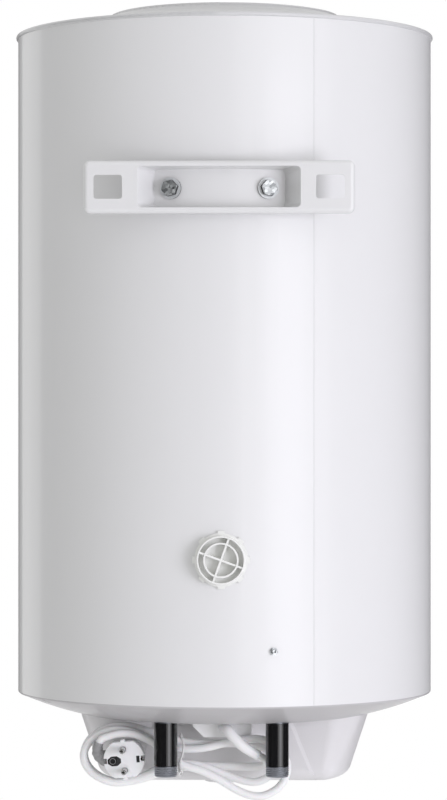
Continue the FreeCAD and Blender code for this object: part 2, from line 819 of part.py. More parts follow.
def anode_rod():
    """The magnesium rod on its stud, with the nut under the plate."""
    x = ANODE_X
    y = AXIS_Y + ANODE_Y
    foot = FLANGE_PLATE_TOP + ANODE_STUD_GAP
    bar = rod(ANODE_R, (x, y, foot), (x, y, foot + ANODE_LENGTH))
    nut_low = FLANGE_PLATE_BOTTOM - ANODE_NUT_T
    stud = rod(ANODE_STUD_R, (x, y, nut_low), (x, y, foot))
    nut = hex_bar(ANODE_NUT_AF, (x, y, nut_low), (x, y, FLANGE_PLATE_BOTTOM))
    return fused([bar, stud, nut])


def thermostat_body():
    """The thermostat's case, its sensor up the pocket, its spindle socket and its button well."""
    low = THERMOSTAT_BOTTOM
    high = FLANGE_PLATE_BOTTOM
    y = AXIS_Y + THERMOSTAT_Y
    half_x = THERMOSTAT_WIDE / 2
    half_y = THERMOSTAT_DEEP / 2
    case = box(-half_x, half_x, y - half_y, y + half_y, low, high)
    upright = [e for e in case.Edges if abs(e.tangentAt(e.FirstParameter).z) > 0.99]
    case = case.makeFillet(THERMOSTAT_EDGE, upright)
    sensor_y = AXIS_Y + WELL_Y
    sensor = rod(SENSOR_R, (0, sensor_y, high), (0, sensor_y, high + SENSOR_LENGTH))
    button_y = AXIS_Y + BUTTON_Y
    collar_low = low - COLLAR_TALL
    collar = rod(BUTTON_R + COLLAR_WALL, (BUTTON_X, button_y, collar_low), (BUTTON_X, button_y, low))
    spindle_y = AXIS_Y + SPINDLE_Y
    socket = rod(SPINDLE_R + COLLAR_WALL, (0, spindle_y, collar_low), (0, spindle_y, low))
    body = fused([case, sensor, collar, socket])
    spindle_bore = rod(
        SPINDLE_R + RUN_CLEARANCE, (0, spindle_y, collar_low), (0, spindle_y, low + SPINDLE_SOCKET)
    )
    button_bore_top = low + BUTTON_SUNK + BUTTON_TRAVEL + RUN_CLEARANCE
    button_bore = rod(
        BUTTON_R + RUN_CLEARANCE, (BUTTON_X, button_y, collar_low), (BUTTON_X, button_y, button_bore_top)
    )
    return body.cut(Part.makeCompound([spindle_bore, button_bore]))


def thermostat_spindle():
    """The turning shaft between thermostat and knob."""
    y = AXIS_Y + SPINDLE_Y
    top = THERMOSTAT_BOTTOM + SPINDLE_SOCKET - RUN_CLEARANCE
    return rod(SPINDLE_R, (0, y, knob_bottom() + KNOB_WEB), (0, y, top))


def knob_bottom():
    """Height of the knob's face."""
    return COVER_BOTTOM - KNOB_GAP - KNOB_TALL


def thermostat_knob():
    """The round temperature knob with finger grooves and a pointer rib, seen from below."""
    y = AXIS_Y + SPINDLE_Y
    low = knob_bottom()
    high = low + KNOB_TALL
    soft = 0.27 * KNOB_EDGE
    knob = turned(
        [
            (0, low),
            (KNOB_R - KNOB_EDGE, low),
            ((KNOB_R - soft, low + soft), (KNOB_R, low + KNOB_EDGE)),
            (KNOB_R, high),
            (0, high),
        ],
        0.0,
        y,
    )
    grips = [
        rod(KNOB_GRIP_R, (gx, gy, low), (gx, gy, high))
        for gx, gy in around(KNOB_GRIPS, KNOB_R + KNOB_GRIP_OUT, 0.0, 0.0, y)
    ]
    hub_r = SPINDLE_R + KNOB_HUB_WALL
    pocket = pipe(KNOB_R - KNOB_RIM_WALL, hub_r, (0, y, low + KNOB_WEB), (0, y, high))
    shaft = rod(SPINDLE_R, (0, y, low + KNOB_WEB), (0, y, high))
    tip = y - KNOB_R + POINTER_IN
    pointer = box(-POINTER_HALF, POINTER_HALF, tip, y + POINTER_TAIL, low - POINTER_PROUD, low)
    return fused([knob.cut(Part.makeCompound(grips + [pocket, shaft])), pointer])


def reset_button():
    """The push button of the thermal cut-out."""
    y = AXIS_Y + BUTTON_Y
    low = THERMOSTAT_BOTTOM - COLLAR_TALL - BUTTON_PROUD
    button = rod(BUTTON_R, (BUTTON_X, y, low), (BUTTON_X, y, THERMOSTAT_BOTTOM + BUTTON_SUNK))
    rims = [e for e in button.Edges if abs(e.CenterOfMass.z - low) < 1e-3]
    return button.makeFillet(BUTTON_EDGE, rims)


def indicator_lamp():
    """The lamp: domed lens under the cover, rim and body inside."""
    y = AXIS_Y + LAMP_Y
    return turned(
        [
            (0, COVER_BOTTOM - LAMP_DOME),
            ((LAMP_LENS_R * 0.7, COVER_BOTTOM - LAMP_DOME * 0.75), (LAMP_LENS_R, COVER_BOTTOM)),
            (LAMP_LENS_R, COVER_FLOOR),
            (LAMP_RIM_R, COVER_FLOOR),
            (LAMP_RIM_R, COVER_FLOOR + LAMP_RIM_T),
            (LAMP_LENS_R, COVER_FLOOR + LAMP_RIM_T),
            (LAMP_LENS_R, COVER_FLOOR + LAMP_BODY_TALL),
            (0, COVER_FLOOR + LAMP_BODY_TALL),
        ],
        LAMP_X,
        y,
    )


def block_ways():
    """Heights along the terminal block where its screws sit."""
    y = AXIS_Y + BLOCK_Y
    step = BLOCK_DEEP / BLOCK_SCREWS
    return [y - BLOCK_DEEP / 2 + step * (i + 0.5) for i in range(BLOCK_SCREWS)]


def terminal_block():
    """The three-way mains terminal block under the pan."""
    y = AXIS_Y + BLOCK_Y
    low = PAN_FLAT_Z - BLOCK_TALL
    half = BLOCK_WIDE / 2
    block = box(BLOCK_X - half, BLOCK_X + half, y - BLOCK_DEEP / 2, y + BLOCK_DEEP / 2, low, PAN_FLAT_Z)
    screw_x = BLOCK_X - BLOCK_SCREW_IN
    side_x = BLOCK_X + half
    cuts = []
    for way in block_ways():
        cuts.append(rod(BLOCK_SCREW_R, (screw_x, way, low), (screw_x, way, low + BLOCK_SCREW_DEEP)))
        hole_z = low + BLOCK_WIRE_UP
        cuts.append(rod(WIRE_R, (side_x - BLOCK_WIRE_DEEP, way, hole_z), (side_x, way, hole_z)))
    edge = BLOCK_DEEP / BLOCK_SCREWS
    for i in range(1, BLOCK_SCREWS):
        cut_y = y - BLOCK_DEEP / 2 + edge * i
        gap_low = cut_y - BLOCK_GAP / 2
        cuts.append(box(BLOCK_X - half, side_x, gap_low, gap_low + BLOCK_GAP, low, low + BLOCK_GAP_DEEP))
    return block.cut(Part.makeCompound(cuts))


def internal_wires():
    """The wires between terminal block, thermostat, heating element and earth screw."""
    start_x = BLOCK_X + BLOCK_WIDE / 2 - BLOCK_WIRE_DEEP
    turn_x = start_x + WIRE_OUT
    start_z = PAN_FLAT_Z - BLOCK_TALL + BLOCK_WIRE_UP
    case_x = -THERMOSTAT_WIDE / 2
    case_y = AXIS_Y + THERMOSTAT_Y
    case_z = THERMOSTAT_BOTTOM + WIRE_CASE_UP
    front, middle, rear = block_ways()
    (leg_x, near_y), (_, far_y) = element_legs()
    pin_z = FLANGE_PLATE_BOTTOM - ELEMENT_PIN_DROP
    under_pin = pin_z - PIN_APPROACH
    earth_y = AXIS_Y + EARTH_Y
    earth_z = FLANGE_PLATE_BOTTOM - SCREW_HEAD_T
    earth_bends = [(turn_x + x, rear + y, start_z - z) for x, y, z in EARTH_WIRE_BENDS]
    routes = {
        "live wire": [
            (start_x, front, start_z),
            (turn_x, front, start_z),
            (turn_x + LIVE_RUN, case_y + LIVE_ASIDE, case_z),
            (turn_x + 2 * LIVE_RUN, case_y + CASE_ENTRY, case_z),
            (case_x, case_y + CASE_ENTRY, case_z),
        ],
        "neutral wire": [
            (start_x, middle, start_z),
            (turn_x, middle, start_z),
            (turn_x + NEUTRAL_RUN, far_y, pin_z - 0.75 * PIN_APPROACH),
            (leg_x, far_y, under_pin),
            (leg_x, far_y, pin_z),
        ],
        "switched wire": [
            (case_x, near_y, under_pin),
            (leg_x, near_y, under_pin),
            (leg_x, near_y, pin_z),
        ],
        "earth wire": [(start_x, rear, start_z), (turn_x, rear, start_z)]
        + earth_bends
        + [(EARTH_X, earth_y, earth_z - EARTH_APPROACH), (EARTH_X, earth_y, earth_z)],
    }
    return Part.makeCompound([tube(name, route, WIRE_R) for name, route in routes.items()])


def earth_screw():
    """The earth screw in the flange plate."""
    x = EARTH_X
    y = AXIS_Y + EARTH_Y
    head = rod(SCREW_HEAD_R, (x, y, FLANGE_PLATE_BOTTOM - SCREW_HEAD_T), (x, y, FLANGE_PLATE_BOTTOM))
    return head.fuse(rod(SCREW_R, (x, y, FLANGE_PLATE_BOTTOM), (x, y, FLANGE_PLATE_TOP)))


def nipple_top():
    """Height at which the water pipes end inside the tank."""
    return TANK_BOTTOM - TANK_DOME / 2 + PIPE_INSIDE


def pipe_rod(side, radius):
    """A full bar along one water pipe; side is 1 for the cold pipe and -1 for the hot one."""
    x = side * PIPE_X
    return rod(radius, (x, PIPE_ROW_Y, PIPE_BOTTOM), (x, PIPE_ROW_Y, nipple_top()))


def water_nipple(side):
    """One water pipe through pan and tank, a little thicker at its chamfered, threaded end."""
    end_r = PIPE_R - PIPE_CHAMFER
    chamfer_top = PIPE_BOTTOM + PIPE_CHAMFER
    thread_top = PIPE_BOTTOM + PIPE_THREAD
    section = [
        (PIPE_BORE_R, PIPE_BOTTOM),
        (end_r, PIPE_BOTTOM),
        (PIPE_R, chamfer_top),
        (PIPE_R, thread_top),
        (PIPE_SHANK_R, thread_top),
        (PIPE_SHANK_R, nipple_top()),
        (PIPE_BORE_R, nipple_top()),
    ]
    return turned(section, side * PIPE_X, PIPE_ROW_Y)


def pipe_sleeve(side):
    """The plain black sleeve on one pipe, from the pan down."""
    section = [
        (PIPE_SHANK_R, SLEEVE_BOTTOM),
        (SLEEVE_R - SLEEVE_EDGE, SLEEVE_BOTTOM),
        (SLEEVE_R, SLEEVE_BOTTOM + SLEEVE_EDGE),
        (SLEEVE_R, PAN_FLAT_Z),
        (PIPE_SHANK_R, PAN_FLAT_Z),
    ]
    return turned(section, side * PIPE_X, PIPE_ROW_Y)


def hot_riser_tube():
    """The tube that draws hot water from the top of the tank."""
    x = -PIPE_X
    foot = nipple_top() - RISER_COLLAR
    top = TANK_TOP + TANK_DOME - RISER_TOP_GAP
    riser = rod(RISER_R, (x, PIPE_ROW_Y, foot), (x, PIPE_ROW_Y, top))
    collar = rod(PIPE_BORE_R, (x, PIPE_ROW_Y, foot), (x, PIPE_ROW_Y, nipple_top()))
    return fused([riser, collar]).cut(rod(RISER_BORE_R, (x, PIPE_ROW_Y, foot), (x, PIPE_ROW_Y, top)))


def cold_inlet_diffuser():
    """The slotted cap that spreads cold water over the tank's foot."""
    x = PIPE_X
    foot = nipple_top() - DIFFUSER_LAP
    seat = nipple_top() + DIFFUSER_SEAT
    top = nipple_top() + DIFFUSER_TALL
    cap = turned(
        [
            (PIPE_SHANK_R, foot),
            (DIFFUSER_R, foot),
            (DIFFUSER_R, top),
            (0, top),
            (0, top - DIFFUSER_T),
            (DIFFUSER_R - DIFFUSER_T, top - DIFFUSER_T),
            (DIFFUSER_R - DIFFUSER_T, seat),
            (PIPE_SHANK_R, seat),
        ],
        x,
        PIPE_ROW_Y,
    )
    half = DIFFUSER_SLOT / 2
    slot = box(0, DIFFUSER_R + 1, -half, half, nipple_top() + DIFFUSER_SLOT_IN, top - DIFFUSER_SLOT_IN)
    slots = []
    for i in range(DIFFUSER_SLOTS):
        one = slot.copy()
        one.rotate(Vector(0, 0, 0), Vector(0, 0, 1), 360.0 * i / DIFFUSER_SLOTS)
        one.translate(Vector(x, PIPE_ROW_Y, 0))
        slots.append(one)
    return cap.cut(Part.makeCompound(slots))


def upright_miss(edge, corner, tall):
    """How far an edge is from being the upright one that starts at a corner of the cover's top."""
    ends = [v.Point for v in edge.Vertexes]
    heights = [p.z for p in ends]
    if max(heights) - min(heights) < 0.9 * tall:
        return 1000.0
    return min(p.distanceToPoint(corner) for p in ends)


def cover_form(inset, top, bottom, edge, back):
    """A tub up to an upright back, inset from its outer faces: tapered and round, with soft corners."""
    foot = Vector(0, AXIS_Y, bottom)
    cone = Part.makeCone(COVER_BOTTOM_R - inset, COVER_TOP_R - inset, top - bottom, foot)
    reach = COVER_TOP_R + 1.0
    front = box(-reach, reach, AXIS_Y - reach, back - inset, bottom, top)
    tub = cone.common(front)
    for side in (1, -1):
        corner = Vector(side * math.sqrt(COVER_TOP_R**2 - COVER_BACK_Y**2), back - inset, top)
        upright = min(tub.Edges, key=lambda e: upright_miss(e, corner, top - bottom))
        from_top = upright.valueAt(upright.FirstParameter).z > upright.valueAt(upright.LastParameter).z
        radii = [COVER_CORNER_FOOT - inset, COVER_CORNER_TOP - inset]
        if from_top:
            radii.reverse()
        tub = tub.makeFillet(*radii, [upright])
    floor = [e for e in tub.Edges if all(abs(v.Z - bottom) < 1e-3 for v in e.Vertexes)]
    return tub.makeFillet(edge, floor)


def pad_wedge(inset):
    """The outline of the raised pad on the cover's back: it widens downwards, with sloping cheeks."""
    wires = []
    for z, half in ((PAN_FLAT_Z, PAD_TOP_HALF), (COVER_BOTTOM, PAD_BOTTOM_HALF)):
        foot = half - inset
        face = foot - PAD_SLOPE
        corners = [
            Vector(-foot, COVER_BACK - PAD_ROOT, z),
            Vector(foot, COVER_BACK - PAD_ROOT, z),
            Vector(foot, COVER_BACK - inset, z),
            Vector(face, PAD_BACK - inset, z),
            Vector(-face, PAD_BACK - inset, z),
            Vector(-foot, COVER_BACK - inset, z),
        ]
        wires.append(Part.makePolygon(corners + corners[:1]))
    return Part.makeLoft(wires, True, True)


def cover_body(inset, bottom):
    """The cover as a full body, its raised pad included, inset from its outer faces."""
    tub = cover_form(inset, PAN_FLAT_Z, bottom, COVER_EDGE - inset, COVER_BACK)
    pad = cover_form(inset, PAN_FLAT_Z, bottom, COVER_EDGE - inset, PAD_BACK)
    return tub.fuse(pad.common(pad_wedge(inset)))


def screw_spots():
    """Where the cover's screws stand."""
    return [(x, AXIS_Y + y) for x, y in COVER_SCREW_SPOTS]


def screw_shank(spot):
    """A cover screw's shank through cover and pan."""
    x, y = spot
    return rod(SCREW_R, (x, y, PAN_FLAT_Z - SCREW_SEAT), (x, y, PAN_FLAT_Z + SCREW_BITE))


def bottom_cover():
    """The moulded cover with its raised pad, its screw wells and the holes for knob, lamp and cord."""
    top = PAN_FLAT_Z
    tub = cover_body(0.0, COVER_BOTTOM).cut(cover_body(COVER_T, COVER_FLOOR))
    wells = []
    bores = []
    for x, y in screw_spots():
        seat = top - SCREW_SEAT
        head_seat = SCREW_HEAD_R + SCREW_HEAD_GAP
        wells.append(rod(head_seat + WELL_WALL, (x, y, COVER_BOTTOM + WELL_RIM), (x, y, top)))
        bores.append(rod(head_seat, (x, y, COVER_BOTTOM), (x, y, seat)))
        bores.append(rod(SCREW_R, (x, y, seat), (x, y, top)))
    tub = fused([tub] + wells)
    knob_y = AXIS_Y + SPINDLE_Y
    spindle_hole_r = SPINDLE_R + SPINDLE_HOLE_GAP
    bores.append(rod(spindle_hole_r, (0, knob_y, COVER_BOTTOM), (0, knob_y, COVER_FLOOR)))
    lamp_y = AXIS_Y + LAMP_Y
    bores.append(rod(LAMP_LENS_R, (LAMP_X, lamp_y, COVER_BOTTOM), (LAMP_X, lamp_y, COVER_FLOOR)))
    x, _, z = RELIEF_ROUTE[0]
    bores.append(rod(RELIEF_R, (x, PAD_BACK - COVER_T - 1.0, z), (x, PAD_BACK + 1.0, z)))
    return tub.cut(Part.makeCompound(bores))


def cover_screws():
    """The screws that hold the cover to the pan."""
    screws = []
    for x, y in screw_spots():
        seat = PAN_FLAT_Z - SCREW_SEAT
        head = rod(SCREW_HEAD_R, (x, y, seat - SCREW_HEAD_T), (x, y, seat))
        screws.append(head.fuse(screw_shank((x, y))))
    return Part.makeCompound(screws)


def cable_outlet():
    """The cord's outlet block between cover and pan, one half cut back at a slant."""
    low = PAN_FLAT_Z - OUTLET_DROP
    block = box(-OUTLET_HALF, OUTLET_HALF, PAD_BACK, OUTLET_FRONT, low, PAN_FLAT_Z)
    slant = Part.Face(
        outline(
            [
                (OUTLET_HALF + 0.1, low - 0.1),
                (OUTLET_HALF - OUTLET_NOTCH, low - 0.1),
                (OUTLET_HALF + 0.1, low + OUTLET_NOTCH),
            ]
        )
    ).extrude(Vector(0, OUTLET_FRONT - PAD_BACK + 2.0, 0))
    slant.translate(Vector(0, PAD_BACK - 1.0, 0))
    block = block.cut(slant)
    corner = [
        e
        for e in block.Edges
        if abs(e.tangentAt(e.FirstParameter).y) > 0.99
        and e.CenterOfMass.x < 1.0 - OUTLET_HALF
        and e.CenterOfMass.z < low + 1.0
    ]
    block = block.makeFillet(OUTLET_CORNER, corner)
    x, _, z = RELIEF_ROUTE[0]
    hole = rod(RELIEF_R, (x, PAD_BACK - 1.0, z), (x, OUTLET_FRONT + 1.0, z))
    return block.cut(hole)


def cord_strain_relief():
    """The moulded boot on the cord: stem through the outlet, collar and curved sleeve."""
    x, _, z = RELIEF_ROUTE[0]
    stem = rod(RELIEF_R, (x, PAD_BACK - COVER_T, z), (x, OUTLET_FRONT, z))
    collar = rod(RELIEF_COLLAR_R, (x, OUTLET_FRONT, z), (x, OUTLET_FRONT + RELIEF_COLLAR_T, z))
    start = (x, OUTLET_FRONT + RELIEF_COLLAR_T, z)
    sleeve = tube("strain relief", (start,) + RELIEF_ROUTE[1:], RELIEF_R)
    return fused([stem, collar, sleeve])


def cord_inside():
    """The cord's stretch inside the cover, to the terminal block."""
    x, _, z = RELIEF_ROUTE[0]
    start = (x, PAD_BACK - COVER_T, z)
    end_y = AXIS_Y + BLOCK_Y + BLOCK_DEEP / 2
    way_in = (BLOCK_X, end_y + BLOCK_APPROACH, PAN_FLAT_Z - BLOCK_ENTRY_DROP)
    end = (BLOCK_X, end_y, way_in[2])
    return tube("cord inside", (start,) + CORD_INSIDE_ROUTE + (way_in, end), CORD_R)


def lobe(centre_x, centre_z, half_x, half_z, start_angle, layer):
    """Corners of one end of the hank, an octagon's half drawn round its turn."""
    reach = 1.0 / math.cos(math.pi / 8.0)
    corners = []
    for i in range(LOBE_CORNERS):
        turn = math.radians(start_angle + 180.0 * i / (LOBE_CORNERS - 1))
        x = centre_x + half_x * reach * math.cos(turn)
        corners.append((x, layer, centre_z + half_z * reach * math.sin(turn)))
    return corners


def hank_corners():
    """The hank's route from the lead to the tail: loops alike, drawn in at the waist."""
    corners = []
    for i in range(HANK_LOOPS):
        layer = LAYER_BACK + LAYER_STEP * i
        lift = LEFT_BACK_LIFT * (HANK_LOOPS - 1 - i)
        half = WAIST_HALF + WAIST_HALF_STEP * i
        corners.append((WAIST_X, layer, WAIST_Z - half))
        corners += lobe(LEFT_X, LEFT_Z + lift / 2, LEFT_HALF_X, LEFT_HALF_Z + lift / 2, -90.0, layer)
        corners.append((WAIST_X, layer, WAIST_Z + half))
        corners += lobe(
            RIGHT_X + RIGHT_X_STEP * i,
            RIGHT_Z - RIGHT_DROP_STEP * i,
            RIGHT_HALF_X + RIGHT_HALF_X_STEP * i,
            RIGHT_HALF_Z + RIGHT_HALF_Z_STEP * i,
            90.0,
            layer + LAYER_STEP,
        )
    return corners


def between(one, other, share):
    """A point on the way from one point to another."""
    return tuple(a + (b - a) * share for a, b in zip(one, other))


def lead_joint():
    """Where the lead meets the hank."""
    return between(LEAD_ROUTE[-1], hank_corners()[0], 0.5)


def tail_joint():
    """Where the hank meets the tail."""
    return between(hank_corners()[-1], TAIL_ROUTE[0], 0.5)


def cord_lead():
    """The cord from the strain relief to the hank, straight out of the sleeve."""
    ahead = between(RELIEF_ROUTE[-2], RELIEF_ROUTE[-1], LEAD_STRAIGHT)
    return tube("cord lead", (RELIEF_ROUTE[-1], ahead) + LEAD_ROUTE + (lead_joint(),), CORD_R)


def hank_route():
    """All corners of the hank, from the lead to the tail."""
    return [lead_joint()] + hank_corners() + [tail_joint()]


def cord_hank():
    """The gathered loops of the cord, one unbroken tube."""
    least_self_gap("cord hank", rounded_route("cord hank route", hank_route()), 2 * CORD_R)
    return tube("cord hank", hank_route(), CORD_R)


def grip_way():
    """Direction in which the cord leaves the plug's grip."""
    turn = math.radians(GRIP_RISE)
    return Vector(math.cos(turn), 0, math.sin(turn))


def grip_end():
    """The middle of the grip's end face."""
    return Vector(GRIP_END_X, TAIL_ROUTE[-1][1], GRIP_END_Z)


def tail_route():
    """The tail's corners, ending square to the grip."""
    above = grip_end() + grip_way() * GRIP_APPROACH
    return (tail_joint(),) + TAIL_ROUTE + (tuple(above), tuple(grip_end()))


def cord_tail():
    """The cord from the hank's waist to the plug's grip."""
    return tube("cord tail", tail_route(), CORD_R)


def plug_axis(offset, across=0.0):
    """A place on the plug's face, offset along its pin line and across it."""
    turn = math.radians(PLUG_TILT)
    x = PLUG_X + across * math.cos(turn) + offset * math.sin(turn)
    z = PLUG_Z - across * math.sin(turn) + offset * math.cos(turn)
    return x, z


def pin_places():
    """Where the two pins stand."""
    return [plug_axis(PIN_SPACING / 2), plug_axis(-PIN_SPACING / 2)]


def plug_disc():
    """The plug's round body with flats above and below."""
    body = rod(PLUG_R, (PLUG_X, PLUG_BACK, PLUG_Z), (PLUG_X, PLUG_FACE, PLUG_Z))
    left = PLUG_X - PLUG_R
    right = PLUG_X + PLUG_R
    slab = box(left, right, PLUG_BACK, PLUG_FACE, PLUG_Z - PLUG_FLAT, PLUG_Z + PLUG_FLAT)
    body = body.common(slab)
    rear = [e for e in body.Edges if all(abs(v.Y - PLUG_BACK) < 1e-3 for v in e.Vertexes)]
    return body.makeFillet(PLUG_EDGE, rear)


def plug_grip():
    """The moulded grip that bends from the plug's side up to the cord."""
    start = Vector(GRIP_START_X, grip_end().y - GRIP_START_BACK, PLUG_Z)
    end = grip_end()
    sections = []
    for i in range(GRIP_SECTIONS):
        share = i / (GRIP_SECTIONS - 1)
        bend = math.radians(GRIP_RISE * share)
        way = Vector(math.cos(bend), 0, math.sin(bend))
        place = start + (end - start) * share
        place.x += GRIP_BOW_OUT * math.sin(math.pi * share)
        place.z -= GRIP_BOW_DOWN * math.sin(math.pi * share)
        radius = GRIP_START_R + (GRIP_END_R - GRIP_START_R) * share
        sections.append(Part.Wire(Part.Circle(place, way, radius).toShape()))
    return Part.makeLoft(sections, True, False)


def power_plug():
    """The moulded plug, holed for its pins, its earth socket and its side clips."""
    body = fused([plug_disc(), plug_grip()])
    cuts = [rod(PIN_R, (x, PLUG_FACE - PIN_ROOT, z), (x, PLUG_FACE, z)) for x, z in pin_places()]
    x, z = plug_axis(0.0, EARTH_HOLE_OFFSET)
    cuts.append(rod(EARTH_HOLE_R, (x, PLUG_FACE - EARTH_HOLE_DEEP, z), (x, PLUG_FACE, z)))
    cuts += [clip_slot(side) for side in (1, -1)]
    return body.cut(Part.makeCompound(cuts))


def clip_slot(side):
    """The notch in the plug's rim for one earth clip."""
    inner = PLUG_R - CLIP_DEEP
    slot = box(inner, PLUG_R + 1, PLUG_FACE - CLIP_LENGTH, PLUG_FACE, -CLIP_WIDE / 2, CLIP_WIDE / 2)
    slot.rotate(Vector(0, 0, 0), Vector(0, 1, 0), PLUG_TILT if side > 0 else 180.0 + PLUG_TILT)
    slot.translate(Vector(PLUG_X, 0, PLUG_Z))
    return slot


def plug_pins():
    """The two round contact pins."""
    pins = []
    for x, z in pin_places():
        tip = PLUG_FACE + PIN_LENGTH
        pin = rod(PIN_R, (x, PLUG_FACE - PIN_ROOT, z), (x, tip, z))
        rim = [e for e in pin.Edges if abs(e.CenterOfMass.y - tip) < 1e-3]
        pins.append(pin.makeFillet(PIN_TIP, rim))
    return Part.makeCompound(pins)


def plug_earth_clips():
    """The two side earth clips, bent strips in the rim's notches."""
    clips = []
    for side in (1, -1):
        inner = PLUG_R - CLIP_DEEP
        half = CLIP_WIDE / 2 - CLIP_SIDE_GAP
        strip = box(inner, inner + CLIP_T, PLUG_FACE - CLIP_LENGTH, PLUG_FACE, -half, half)
        strip.rotate(Vector(0, 0, 0), Vector(0, 1, 0), PLUG_TILT if side > 0 else 180.0 + PLUG_TILT)
        strip.translate(Vector(PLUG_X, 0, PLUG_Z))
        clips.append(strip)
    return Part.makeCompound(clips)


def waist_strands():
    """Where the cord's strands cross the tie's plane, as points of Y and Z."""
    reach = 200.0
    corner = Vector(TIE_X, LAYER_BACK - reach / 2, WAIST_Z - reach / 2)
    plane = Part.makePlane(reach, reach, corner, Vector(1, 0, 0), Vector(0, 1, 0))
    strands = []
    for name, route in (("tied hank", hank_route()), ("tied tail", tail_route())):
        crossing = rounded_route(name, route).section(plane)
        strands += [(v.Y, v.Z) for v in crossing.Vertexes]
    return strands


def twist_tie():
    """The wire tie round the hank's waist, with its two ends."""
    reach = CORD_R + TIE_GAP + TIE_R
    depths, heights = zip(*waist_strands())
    back = min(depths) - reach
    front = max(depths) + reach
    bottom = min(heights) - reach
    top = max(heights) + reach
    loop = rounded_rectangle((front - back) / 2, (top - bottom) / 2, TIE_CORNER, 0.0)
    loop.rotate(Vector(0, 0, 0), Vector(0, 0, 1), 90)
    loop.translate(Vector(TIE_X, (back + front) / 2, (top + bottom) / 2))
    edge = max((e for e in loop.Edges if e.Length > 12), key=lambda e: e.CenterOfMass.y)
    section = Part.Wire(Part.Circle(edge.CenterOfMass, Vector(0, 0, 1), TIE_R).toShape())
    ring = Part.BRepOffsetAPI.MakePipeShell(loop)
    ring.add(section)
    ring.build()
    ring.makeSolid()
    foot = (TIE_X, front, bottom + TIE_CORNER)
    tails = [
        rod(TIE_R, foot, (TIE_X - TIE_SPREAD, front + TIE_TURN_OUT, foot[2] - TIE_TAIL)),
        rod(TIE_R, foot, (TIE_X + 0.7 * TIE_SPREAD, front + 2 * TIE_TURN_OUT, foot[2] - 0.8 * TIE_TAIL)),
    ]
    return fused([ring.shape()] + tails)


def bracket_block(inset, front, back):
    """The bracket's raised outline with soft corners and front edge, inset by a sheet's thickness."""
    half_x = BRACKET_HALF_X - inset
    half_z = BRACKET_HALF_Z - inset
    block = rounded_plate(half_x, half_z, BRACKET_CORNER - inset, back, front)
    rim = [e for e in block.Edges if all(abs(v.Y - front) < 1e-3 for v in e.Vertexes)]
    return block.makeFillet(BRACKET_EDGE - inset, rim)


def recess_form(grow):
    """The pressed recess: a tray with sloping ends, deeper than the bracket stands off the casing."""
    slope_x = (RECESS_TOP_X - RECESS_FLOOR_X) / RECESS_DEEP
    slope_z = (RECESS_TOP_Z - RECESS_FLOOR_Z) / RECESS_DEEP
    wires = []
    for y in (1.0, -RECESS_DEEP - BRACKET_T):
        half_x = RECESS_TOP_X + slope_x * y + grow
        half_z = RECESS_TOP_Z + slope_z * y + grow
        wires.append(rounded_rectangle(half_x, half_z, RECESS_CORNER + grow, y))
    return Part.makeLoft(wires, True, True)


def recess_tray(grow, lift):
    """The recess cut off by the casing's curve, which its floor follows at a height of lift."""
    front = box(-BRACKET_HALF_X, BRACKET_HALF_X, -2 * RECESS_DEEP, 0, -BRACKET_HALF_Z, BRACKET_HALF_Z)
    return recess_form(grow).common(front).cut(casing_solid(SHELL_R + lift))


def bolt_angles():
    """The angles from the casing's rear line at which the bracket's bolts stand."""
    return (BOLT_ANGLE, -BOLT_ANGLE)


def bolt_rod(angle, radius, low, high):
    """A bar square to the casing, between two heights over its face."""
    start_x, start_y = rear_point(angle, SHELL_R + low)
    end_x, end_y = rear_point(angle, SHELL_R + high)
    return rod(radius, (start_x, start_y, 0), (end_x, end_y, 0))


def wall_bracket():
    """The pressed wall bracket with its recess, hook windows and bolt holes."""
    tray = recess_tray(BRACKET_T, 0.0)
    outside = bracket_block(0.0, 0.0, -BRACKET_FLANGE).fuse(tray)
    cavity = bracket_block(BRACKET_T, -BRACKET_T, -BRACKET_FLANGE - 1.0).cut(tray)
    cuts = [cavity, recess_form(0.0).cut(casing_solid(SHELL_R + BRACKET_T))]
    for side in (1, -1):
        window = rounded_plate(WINDOW_WIDE / 2, WINDOW_TALL / 2, WINDOW_CORNER, -BRACKET_FLANGE, 1.0)
        window.translate(Vector(side * WINDOW_X, 0, 0))
        cuts.append(window)
    cuts += [bolt_rod(angle, BOLT_R, -1.0, BRACKET_T + 1.0) for angle in bolt_angles()]
    return outside.cut(Part.makeCompound(cuts))


def bracket_bolts():
    """The two hex bolts that hold the bracket."""
    seat = BRACKET_T + WASHER_T
    corner_r = BOLT_AF / math.sqrt(3.0)
    bolts = []
    for angle in bolt_angles():
        seat_x, seat_y = rear_point(angle, SHELL_R + seat)
        top_x, top_y = rear_point(angle, SHELL_R + seat + BOLT_HEAD)
        seat_point = Vector(seat_x, seat_y, 0)
        top_point = Vector(top_x, top_y, 0)
        cone = Part.makeCone(
            corner_r + BOLT_HEAD / 2,
            corner_r - BOLT_CHAMFER,
            BOLT_HEAD,
            seat_point,
            top_point - seat_point,
        )
        head = hex_bar(BOLT_AF, seat_point, top_point).common(cone)
        bolts.append(head.fuse(bolt_rod(angle, BOLT_R, seat - BOLT_LENGTH, seat)))
    return Part.makeCompound(bolts)


def bracket_washers():
    """The washers under the bolts."""
    top = BRACKET_T + WASHER_T
    rings = []
    for angle in bolt_angles():
        disc = bolt_rod(angle, WASHER_R, BRACKET_T, top)
        rings.append(disc.cut(bolt_rod(angle, BOLT_R, BRACKET_T, top)))
    return Part.makeCompound(rings)


def post(angle, clearance):
    """A mounting post's outline between tank and bracket."""
    bar = bolt_rod(angle, POST_R + clearance, -FOAM_T - POST_SUNK, 1.0)
    tank = rod(TANK_R, (0, AXIS_Y, -POST_R * 2), (0, AXIS_Y, POST_R * 2))
    return bar.common(casing_solid(SHELL_R)).cut(tank)


